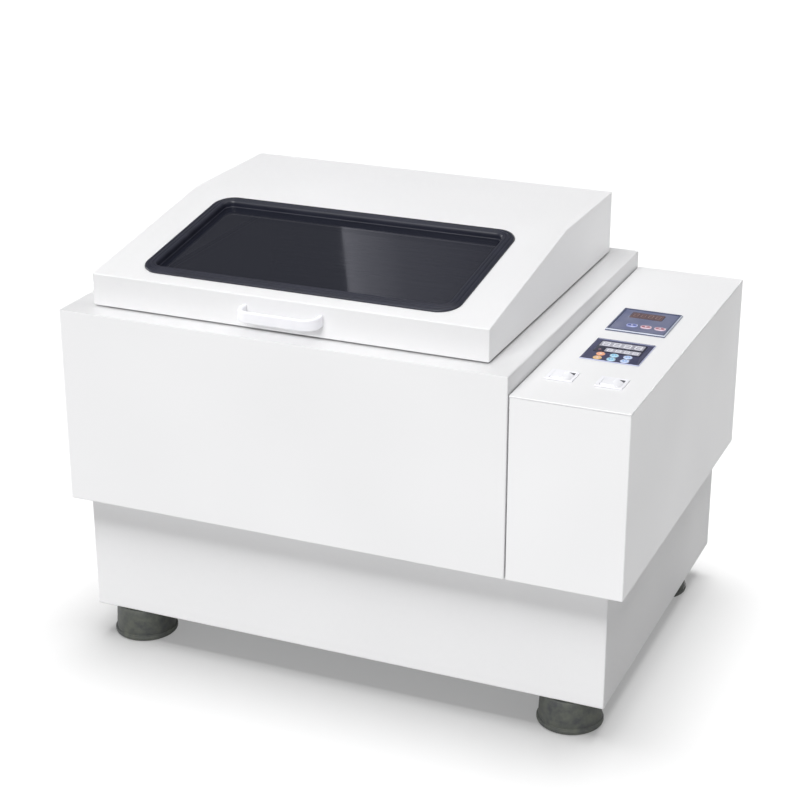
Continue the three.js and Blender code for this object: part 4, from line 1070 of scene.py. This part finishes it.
# A paddle's ends are pressed in turn, and its crease is left crisp.
for switch in ("shake", "power"):
    node = switch + "_rocker"
    paddle = eased_copy(node, "_paddle", PADDLE_EDGE, CREASE, 40)
    settle(paddle, switch + "_paddle", "white_plastic", "white_abs", node)
for node in ("shake_switch_frame", "power_switch_frame"):
    switch_frame(node)
    switch_lip(node)


# Screws: one pan head is turned and its cross is cut, and the rest are copies of it.

SCREW_PROFILE = [(3.0, -0.6), (3.0, 0.5), (2.75, 1.0), (2.2, 1.45), (1.3, 1.7)]
CROSS_LENGTH = mm(3.2)
CROSS_WIDTH = mm(0.7)
CROSS_DEPTH = mm(0.9)
CROSS_TURN = 37
HINGE_SCREWS = 9
LEAF_THICKNESS = mm(1.2)
LEAF_SCREW_INSET = mm(4.5)
DUCT_SCREW_INSET = mm(9)
TRAY_THICKNESS = mm(2)
TRAY_SCREW_X = mm(128)
TRAY_SCREW_Y = mm(100)
CLAMP_THICKNESS = mm(1.2)


def screw_head():
    """A pan head along Z, with a cross recess, to copy."""
    head = turned("screw_head", SCREW_PROFILE, (0, 0, 0), 24)
    head_top = mm(SCREW_PROFILE[-1][1])
    for turn in (0, 90):
        bpy.ops.mesh.primitive_cube_add(size=1, location=(0, 0, head_top))
        bar = named("cross_bar")
        bar.scale = (CROSS_LENGTH, CROSS_WIDTH, 2 * CROSS_DEPTH)
        bar.rotation_euler = (0, 0, math.radians(turn))
        apply_place(bar)
        apply_modifier(head, "BOOLEAN", operation="DIFFERENCE", object=bar, solver="EXACT")
        bpy.data.objects.remove(bar)
    smooth(head, 40)
    return head


def screw(head, name, place, towards, turn, body, size):
    """A copy of the head at a place, facing a direction, with its cross at a turn."""
    piece = copy_of(head, name)
    facing = Vector(towards).to_track_quat("Z", "Y").to_matrix().to_4x4()
    spun = facing @ Matrix.Rotation(math.radians(turn), 4, "Z")
    piece.data.transform(Matrix.Translation(place) @ spun @ Matrix.Scale(size, 4))
    settle(piece, body, "machined_steel", "ground")


def screw_rows():
    """The fastenings that show: name, place, direction, body and size."""
    upward, backward = (0, 0, 1), (0, 1, 0)
    lid_low, lid_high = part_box("hinge_lid_leaf")
    body_low, body_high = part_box("hinge_body_leaf")
    for index in range(HINGE_SCREWS):
        x = lid_low.x + (lid_high.x - lid_low.x) * (index + 0.5) / HINGE_SCREWS
        on_lid = Vector((x, lid_low.y + LEAF_THICKNESS, lid_high.z - LEAF_SCREW_INSET))
        on_body = Vector((x, body_high.y - LEAF_SCREW_INSET, body_low.z + LEAF_THICKNESS))
        yield "hinge_lid_screw", on_lid, backward, "lid", 0.75
        yield "hinge_body_screw", on_body, upward, "root", 0.75
    low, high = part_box("air_duct_cover")
    for share in (0.12, 0.5, 0.88):
        place = Vector((high.x - DUCT_SCREW_INSET, low.y + (high.y - low.y) * share, high.z))
        yield "duct_screw", place, upward, "root", 1.0
    middle, bottom = middle_of("flask_tray"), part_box("flask_tray")[0].z
    for across in (-TRAY_SCREW_X, TRAY_SCREW_X):
        for along in (-TRAY_SCREW_Y, TRAY_SCREW_Y):
            place = Vector((middle.x + across, middle.y + along, bottom + TRAY_THICKNESS))
            yield "tray_screw", place, upward, "tray", 1.1
    for corner in CORNERS:
        clamp = "flask_clamp_" + corner
        middle, bottom = middle_of(clamp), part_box(clamp)[0].z
        place = Vector((middle.x, middle.y, bottom + CLAMP_THICKNESS))
        yield "clamp_screw", place, upward, "tray", 1.4


def screws():
    """Every screw, with its cross at a turn of its own."""
    head = screw_head()
    for index, (name, place, towards, body, size) in enumerate(screw_rows()):
        screw(head, name + "_" + str(index), place, towards, CROSS_TURN * index, body, size)
    bpy.data.objects.remove(head)


screws()

# Camera: at the photograph's angle, with its focal length.

CAMERA_PLACE = mm(853.9, -2049.0, 1170.5)
CAMERA_TARGET = mm(-17.86, -1.2, 277.17)
CAMERA_LENS = 86.22
CAMERA_SENSOR = 36


def camera():
    """A camera that looks at the target from its place."""
    data = bpy.data.cameras.new("camera")
    data.lens = CAMERA_LENS
    data.sensor_width = CAMERA_SENSOR
    made = bpy.data.objects.new("camera", data)
    made.location = CAMERA_PLACE
    made.rotation_euler = (CAMERA_TARGET - CAMERA_PLACE).to_track_quat("-Z", "Y").to_euler()
    link(made)
    bpy.context.scene.camera = made


# Studio: strengths are shares of the light that shows a white matt face as full white.

FULL_WHITE = math.pi
SKY = 0.22
SKY_SEEN = 1.0
FLOOR_SIDE = 60
FLOOR_GLOW = 0.25
SUN_DISTANCE = 4

# What the suns fall on: whether a group takes its pieces in or leaves them out, and the pieces.
GROUPS = {
    "on_floor": ("INCLUDE", ["studio_floor"]),
    "on_lid": ("INCLUDE", ["lid_shell_folded"]),
    "on_base": ("INCLUDE", ["base_plinth_folded"]),
    "not_floor": ("EXCLUDE", ["studio_floor"]),
    "not_base": ("EXCLUDE", ["studio_floor", "base_plinth_folded"]),
    "not_base_or_lid": ("EXCLUDE", ["studio_floor", "base_plinth_folded", "lid_shell_folded"]),
    "not_base_or_cabinet": ("EXCLUDE", ["studio_floor", "base_plinth_folded", "cabinet_shell_folded"]),
    "not_rockers": ("EXCLUDE", ["shake_rocker_paddle", "power_rocker_paddle"]),
}
# Each sun's azimuth (0 is the front, 90 the right side), elevation, share of full white, spread and group.
SUNS = {
    "overhead_light": (0, 90, 0.31, 62, "not_base"),
    "lid_top_light": (0, 90, 0.08, 62, "on_lid"),
    "lid_front_light": (-4, 32, 0.585, 30, "on_lid"),
    "front_light": (-4, 32, 0.73, 30, "not_base_or_lid"),
    "side_light": (88, 40, 0.19, 40, "not_base_or_cabinet"),
    "rear_light": (180, 4, 0.32, 12, "not_floor"),
    "left_light": (-90, 5, 0.3, 12, "not_floor"),
    "base_light": (-22, 75, 1.6, 23, "on_base"),
    "base_front_light": (-10, 5, 0.31, 20, "on_base"),
    "base_side_light": (88, 74, 0.2, 12, "on_base"),
    "floor_light": (-175, 82.5, 1.48, 40, "on_floor"),
}


def group(name):
    """The collection of a group's pieces."""
    state, pieces = GROUPS[name]
    made = bpy.data.collections.new(name)
    for piece in pieces:
        made.objects.link(bpy.data.objects[piece])
    for member in made.collection_objects:
        member.light_linking.link_state = state
    return made


def direction(azimuth, elevation):
    """The way towards a light."""
    turn, lift = math.radians(azimuth), math.radians(elevation)
    return Vector((math.sin(turn) * math.cos(lift), -math.cos(turn) * math.cos(lift), math.sin(lift)))


def sun(name, azimuth, elevation, share, spread, receivers):
    """A wide soft light from a direction."""
    data = bpy.data.lights.new(name, "SUN")
    data.energy = share * FULL_WHITE
    data.angle = math.radians(spread)
    made = bpy.data.objects.new(name, data)
    towards = direction(azimuth, elevation)
    made.rotation_euler = towards.to_track_quat("Z", "Y").to_euler()
    made.location = towards * SUN_DISTANCE
    link(made)
    made.light_linking.receiver_collection = receivers


def studio_floor():
    """Matt pale vinyl. It throws less light back up than it shows, as if dark flags stood round it."""
    bpy.ops.mesh.primitive_plane_add(size=FLOOR_SIDE, location=(0, 0, 0))
    floor = named("studio_floor")
    material, tree, shader = finish("studio_floor", "#bdbdbd", 0.9)
    vary(tree, shader, grain(tree, FLOOR_DRIFT, 1.0), ("#bcbcbc", "#bebebe"), (0.88, 0.92))
    shown = shader.inputs["Base Color"].links[0].from_socket
    bounce = add(tree, "Mix", {
        0: add(tree, "LightPath").outputs["Is Diffuse Ray"], 6: shown, 7: linear("#4d4d4d"),
    }, data_type="RGBA")
    tree.links.new(bounce.outputs[2], shader.inputs["Base Color"])
    shader.inputs["Emission Color"].default_value = (1, 1, 1, 1)
    shader.inputs["Emission Strength"].default_value = FLOOR_GLOW
    floor.data.materials.append(material)


def sky():
    """White to the camera, and dimmer as a light."""
    world = bpy.data.worlds.new("studio_sky")
    world.use_nodes = True
    bpy.context.scene.world = world
    tree = world.node_tree
    tree.nodes["Background"].inputs["Color"].default_value = (1, 1, 1, 1)
    tree.nodes["Background"].inputs["Strength"].default_value = SKY
    seen = add(tree, "Background", {"Color": (1, 1, 1, 1), "Strength": SKY_SEEN})
    mix = add(tree, "MixShader", {
        0: add(tree, "LightPath").outputs["Is Camera Ray"],
        1: tree.nodes["Background"].outputs[0],
        2: seen.outputs[0],
    })
    tree.links.new(mix.outputs[0], tree.nodes["World Output"].inputs["Surface"])


# The card stands behind the left rear corner. Its left edge shows in the pane as a line.
CARD_EDGE = mm(-1271, 2155, 2113)
CARD_AZIMUTH = -151.55
CARD_ELEVATION = 33
CARD_ROLL = -3
CARD_WIDTH = mm(700)
CARD_HEIGHT = mm(1600)
CARD_GLOW = 1.25
CARD_TINT = (1.0, 1.0, 1.1)
# How bright the card is at shares of its width.
CARD_FADE = [(0, 1.0), (0.07, 0.72), (0.23, 0.39), (0.65, 0.2)]


def light_card():
    """A card that only gloss sees, brightest along its left edge."""
    away = direction(CARD_AZIMUTH, CARD_ELEVATION)
    level = away.cross((0, 0, 1)).normalized()
    sideways = Matrix.Rotation(math.radians(CARD_ROLL), 3, away) @ level
    bpy.ops.mesh.primitive_plane_add(size=1)
    card = named("light_card")
    card.scale = (CARD_WIDTH, CARD_HEIGHT, 1)
    apply_place(card)
    upward = sideways.cross(away)
    card.matrix_world = Matrix.Translation(CARD_EDGE + sideways * CARD_WIDTH / 2) @ Matrix(
        (sideways, upward, -away)
    ).transposed().to_4x4()
    material, tree, shader = finish("card_glow", "#000000", 1.0)
    across = add(tree, "SeparateXYZ", {"Vector": add(tree, "TexCoord").outputs["Object"]}).outputs["X"]
    half = CARD_WIDTH / 2
    share = add(tree, "MapRange", {"Value": across, "From Min": -half, "From Max": half})
    ramp = add(tree, "ValToRGB", {"Fac": share.outputs["Result"]})
    stops = ramp.color_ramp.elements
    while len(stops) < len(CARD_FADE):
        stops.new(1.0)
    for stop, (place, glow) in zip(stops, CARD_FADE):
        stop.position = place
        stop.color = (*[glow * tint for tint in CARD_TINT], 1)
    tree.links.new(ramp.outputs["Color"], shader.inputs["Emission Color"])
    shader.inputs["Emission Strength"].default_value = CARD_GLOW
    card.data.materials.append(material)
    for ray in ("camera", "diffuse", "shadow", "transmission", "volume_scatter"):
        setattr(card, "visible_" + ray, False)


def studio():
    """A pale floor, a white sky, and wide soft lights, some of which fall on one piece alone."""
    studio_floor()
    sky()
    groups = {name: group(name) for name in GROUPS}
    for name, (azimuth, elevation, share, spread, receivers) in SUNS.items():
        sun(name, azimuth, elevation, share, spread, groups[receivers])
    # The paddles cast no shadow of the side light into their wells.
    bpy.data.objects["side_light"].light_linking.blocker_collection = groups["not_rockers"]


camera()
light_card()
studio()
bpy.context.scene.view_settings.view_transform = "Standard"
